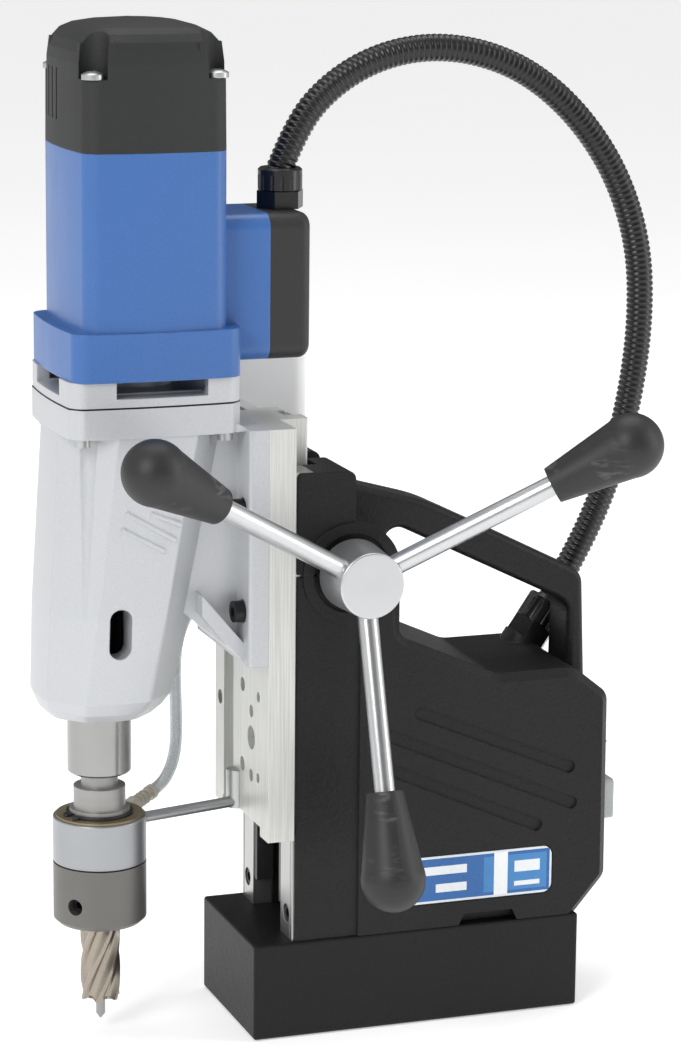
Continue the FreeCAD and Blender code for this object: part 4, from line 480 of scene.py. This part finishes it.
def spaced(line, spacing):
    """The line again, with points at even spacing, and its length."""
    gaps = [(b - a).length for a, b in zip(line, line[1:])]
    total = sum(gaps)
    count = max(2, round(total / spacing))
    points = []
    reached = 0.0
    i = 0
    for k in range(count + 1):
        want = total * k / count
        while i < len(gaps) - 1 and reached + gaps[i] < want:
            reached += gaps[i]
            i += 1
        points.append(line[i].lerp(line[i + 1], (want - reached) / gaps[i]))
    return points, total


def pipe(line, radius_at, segments):
    """A closed tube pulled along the line; its radius follows radius_at(step)."""
    bm = bmesh.new()
    heading = (line[1] - line[0]).normalized()
    turn = heading.to_track_quat("Z", "Y").to_matrix()
    radius = radius_at(0)
    place = Matrix.Translation(line[0]) @ turn.to_4x4()
    made = bmesh.ops.create_circle(bm, cap_ends=True, segments=segments, radius=radius, matrix=place)
    edges = list(bm.edges)
    for step in range(1, len(line)):
        before = line[step - 1]
        ahead = line[min(step + 1, len(line) - 1)]
        new_heading = (ahead - before).normalized()
        swing = heading.rotation_difference(new_heading).to_matrix().to_4x4()
        new_radius = radius_at(step)
        pulled = bmesh.ops.extrude_edge_only(bm, edges=edges)["geom"]
        verts = [g for g in pulled if isinstance(g, bmesh.types.BMVert)]
        edges = [g for g in pulled if isinstance(g, bmesh.types.BMEdge)]
        scale = Matrix.Scale(new_radius / radius, 4)
        move = Matrix.Translation(line[step]) @ swing @ scale @ Matrix.Translation(-before)
        bmesh.ops.transform(bm, matrix=move, verts=verts)
        heading = new_heading
        radius = new_radius
    bmesh.ops.edgeloop_fill(bm, edges=edges)
    bmesh.ops.recalc_face_normals(bm, faces=bm.faces)
    return bm


HOSE_ROUTE = [
    (-0.0595, 0.0001, 0.4053), (-0.0505, 0.0010, 0.4264), (-0.0351, 0.0025, 0.4435),
    (-0.0128, 0.0045, 0.4562), (0.0142, 0.0070, 0.4618), (0.0432, 0.0095, 0.4588),
    (0.0718, 0.0120, 0.4472), (0.0980, 0.0145, 0.4256), (0.1192, 0.0170, 0.3967),
    (0.1322, 0.0195, 0.3624), (0.1350, 0.0215, 0.3262), (0.1320, 0.0235, 0.2903),
    (0.1248, 0.0250, 0.2566), (0.1138, 0.0258, 0.2266), (0.1012, 0.0260, 0.2030),
    (0.0894, 0.0253, 0.1835),
]
HOSE_RADIUS = 0.0065
HOSE_PITCH = 0.0028
HOSE_SPAN = ("stand", "carriage", HOSE_ROUTE[-2], HOSE_ROUTE[1])
RIB_STEPS = 6


def make_hose():
    line, length = spaced(route_line("hose_route", HOSE_ROUTE, 24), HOSE_PITCH / RIB_STEPS)
    rib = [1.0, 1.0, 0.975, 0.90, 0.90, 0.975]
    bm = pipe(line, lambda step: HOSE_RADIUS * rib[step % RIB_STEPS], 24)
    hose = finished("ribbed_hose", bm, hose_black, HOSE_SPAN, "black_hose", "hose")
    [tuple(p) for p in line[::3]] + [tuple(line[-1])]


make_hose()


CASE_BARS = [((-0.1433, 0.2578), (-0.1198, 0.2435)), ((-0.1454, 0.2504), (-0.1250, 0.2387)),
             ((-0.1320, 0.2571), (-0.1171, 0.2506))]
BAR_WIDTH = 0.0022
BAR_DEPTH = 0.0016
BAR_ROUNDING = 0.0006
BAR_FACE_LOW = (0.208, -0.0362)
BAR_FACE_HIGH = (0.293, -0.0392)


TUBE_ROUTE = [
    (-0.1120, 0.0287, 0.1060), (-0.1067, 0.0331, 0.1072), (-0.1020, 0.0371, 0.1107),
    (-0.0984, 0.0401, 0.1160), (-0.0962, 0.0420, 0.1236), (-0.0956, 0.0428, 0.1344),
    (-0.0959, 0.0432, 0.1480), (-0.0960, 0.0444, 0.1620), (-0.0938, 0.0482, 0.1745),
    (-0.0880, 0.0540, 0.1840), (-0.0798, 0.0592, 0.1916), (-0.0702, 0.0630, 0.1974),
]
TUBE_RADIUS = 0.003
TUBE_BORE = 0.002


def make_coolant_tube():
    """Clear tube with a real bore, from the barb to the valve."""
    line, _ = spaced(route_line("tube_route", TUBE_ROUTE, 12), 0.0012)
    bm = pipe(line, lambda step: TUBE_RADIUS, 24)
    core = pipe(line, lambda step: TUBE_BORE, 24)
    bmesh.ops.reverse_faces(core, faces=core.faces)
    inner = bpy.data.meshes.new("tube_bore")
    core.to_mesh(inner)
    core.free()
    bm.from_mesh(inner)
    bpy.data.meshes.remove(inner)
    finished("clear_tube", bm, clear_hose, "carriage", "clear_tube", "coolant_tube")


make_coolant_tube()


CUTTER_RADIUS = 0.0094
FLUTE_DEPTH = 0.0019
CUTTER_BORE = 0.0072
CUTTER_FLUTES = 6
CUTTER_TURN = math.radians(-125.0)
CROWN_BOTTOM = 0.0157
CROWN_TOP = 0.0575
TOOTH_RISE = 0.0022


def flute_share(angle):
    """0 on a land, 1 on a flute's floor, with a sharp leading side and a long trailing one."""
    turn = (angle * CUTTER_FLUTES / math.tau) % 1.0
    if turn < 0.22:
        return 0.0
    if turn < 0.36:
        return (turn - 0.22) / 0.14
    return 1.0 if turn < 0.6 else 1.0 - ((turn - 0.6) / 0.4) ** 1.6


def make_cutter():
    """Annular cutter: hollow crown, six spiral flutes and a toothed lower edge."""
    bm = bmesh.new()
    bmesh.ops.create_circle(bm, cap_ends=False, segments=120, radius=CUTTER_RADIUS)
    shares = {}
    for v in bm.verts:
        share = flute_share(math.atan2(v.co.y, v.co.x))
        shares[v] = share
        v.co *= 1 - share * FLUTE_DEPTH / CUTTER_RADIUS
    first = list(bm.edges)
    edges = first
    levels = 48
    rise = (CROWN_TOP - CROWN_BOTTOM) / levels
    step = Matrix.Translation((0, 0, rise)) @ Matrix.Rotation(-CUTTER_TURN / levels, 4, "Z")
    for _ in range(levels):
        pulled = bmesh.ops.extrude_edge_only(bm, edges=edges)["geom"]
        edges = [g for g in pulled if isinstance(g, bmesh.types.BMEdge)]
        bmesh.ops.transform(bm, matrix=step, verts=[g for g in pulled if isinstance(g, bmesh.types.BMVert)])
    bmesh.ops.edgeloop_fill(bm, edges=edges)
    for v, share in shares.items():
        v.co.z += share * TOOTH_RISE
    for radius, lift in ((CUTTER_BORE, 0.0), (CUTTER_BORE, 0.02)):
        pulled = bmesh.ops.extrude_edge_only(bm, edges=first)["geom"]
        first = [g for g in pulled if isinstance(g, bmesh.types.BMEdge)]
        for v in (g for g in pulled if isinstance(g, bmesh.types.BMVert)):
            flat = Vector((v.co.x, v.co.y)).normalized() * radius
            v.co = (flat.x, flat.y, v.co.z + lift)
    bmesh.ops.edgeloop_fill(bm, edges=first)
    bmesh.ops.translate(bm, vec=(SPINDLE_AXIS[0], SPINDLE_AXIS[1], CROWN_BOTTOM), verts=bm.verts)
    bmesh.ops.recalc_face_normals(bm, faces=bm.faces)
    crown = finished("fluted_cutter", bm, cutter_finish, "spindle", "tool_steel", "cutter")
    crown.data.set_sharp_from_angle(angle=math.radians(35.0))


make_cutter()


def make_case_bars():
    """Three raised slanted bars cast on the side of the gear case."""
    bm = bmesh.new()
    for (x0, z0), (x1, z1) in CASE_BARS:
        middle_x = (x0 + x1) / 2
        middle_z = (z0 + z1) / 2
        share = (middle_z - BAR_FACE_LOW[0]) / (BAR_FACE_HIGH[0] - BAR_FACE_LOW[0])
        face = BAR_FACE_LOW[1] + share * (BAR_FACE_HIGH[1] - BAR_FACE_LOW[1])
        length = math.hypot(x1 - x0, z1 - z0)
        place = Matrix.Translation((middle_x, face, middle_z))
        lean = Matrix.Rotation(math.atan2(z0 - z1, x1 - x0), 4, "Y")
        size = Matrix.Diagonal((length, BAR_DEPTH, BAR_WIDTH, 1.0))
        bmesh.ops.create_cube(bm, size=1.0, matrix=place @ lean @ size)
    bmesh.ops.bevel(
        bm, geom=list(bm.edges), offset=BAR_ROUNDING, affect="EDGES", segments=3, profile=0.5, material=-1
    )
    finished("case_bars", bm, silver_coat, "carriage", "silver_casting")


make_case_bars()


# ---------------------------------------------------------------- studio
FLOOR_HALF = 20.0
FLOOR_LEVEL = -0.0006
FLOOR_GLOW = 0.4
SKY_SIDES = (0.942, -0.335, 0.0)
SKY_STRENGTH = 0.62


def soft_light(name, place, aim, size, power):
    data = bpy.data.lights.new(name, "AREA")
    data.shape = "RECTANGLE"
    data.size = size[0]
    data.size_y = size[1]
    data.energy = power
    light = bpy.data.objects.new(name, data)
    light.location = place
    light.rotation_euler = (Vector(aim) - Vector(place)).to_track_quat("-Z", "Y").to_euler()
    bpy.context.scene.collection.objects.link(light)


def sky_share(tree, place, direction, start, end, low, high):
    """Brightness of the sky that grows towards a direction and its opposite."""
    lean = tree.nodes.new("ShaderNodeVectorMath")
    lean.operation = "DOT_PRODUCT"
    lean.inputs[1].default_value = direction
    size = tree.nodes.new("ShaderNodeMath")
    size.operation = "ABSOLUTE"
    ramp = tree.nodes.new("ShaderNodeMapRange")
    ramp.interpolation_type = "SMOOTHSTEP"
    for key, value in (("From Min", start), ("From Max", end), ("To Min", low), ("To Max", high)):
        ramp.inputs[key].default_value = value
    tree.links.new(place, lean.inputs[0])
    tree.links.new(lean.outputs["Value"], size.inputs[0])
    tree.links.new(size.outputs[0], ramp.inputs["Value"])
    return ramp.outputs[0]


def make_studio():
    bm = bmesh.new()
    below = Matrix.Translation((0, 0, FLOOR_LEVEL))
    bmesh.ops.create_grid(bm, x_segments=2, y_segments=2, size=FLOOR_HALF, matrix=below)
    mesh = bpy.data.meshes.new("studio_floor")
    bm.to_mesh(mesh)
    bm.free()
    floor = bpy.data.objects.new("studio_floor", mesh)
    bpy.context.scene.collection.objects.link(floor)
    sweep = Finish("studio_paper")
    tone = sweep.mix(sweep.grain(3.0, 2.0), paint("#f7f7f7"), paint("#fafafa"))
    sweep.shader.inputs["Specular IOR Level"].default_value = 0.0
    sweep.shader.inputs["Emission Color"].default_value = (1.0, 1.0, 1.0, 1.0)
    sweep.shader.inputs["Emission Strength"].default_value = FLOOR_GLOW
    mesh.materials.append(sweep.set(Base_Color=tone, Roughness=0.9))
    world = bpy.data.worlds.new("studio")
    world.use_nodes = True
    tree = world.node_tree
    sky = tree.nodes["Background"]
    sky.inputs["Strength"].default_value = SKY_STRENGTH
    place = tree.nodes.new("ShaderNodeTexCoord").outputs["Generated"]
    sides = sky_share(tree, place, SKY_SIDES, 0.25, 0.95, 0.16, 1.15)
    above = sky_share(tree, place, (0.0, 0.0, 1.0), 0.35, 0.95, 0.0, 0.6)
    both = tree.nodes.new("ShaderNodeMath")
    tree.links.new(sides, both.inputs[0])
    tree.links.new(above, both.inputs[1])
    tree.links.new(both.outputs[0], sky.inputs["Color"])
    bpy.context.scene.world = world
    soft_light("key_light", (-1.75, -1.45, 1.6), (-0.03, 0, 0.22), (0.9, 1.4), 30)
    soft_light("side_light", (1.9, -0.9, 0.9), (0, 0, 0.22), (0.6, 1.8), 12)
    soft_light("top_light", (0.1, 0.5, 2.2), (0, 0, 0.2), (1.6, 1.2), 15)
    bpy.context.scene.view_settings.view_transform = "Standard"


make_studio()
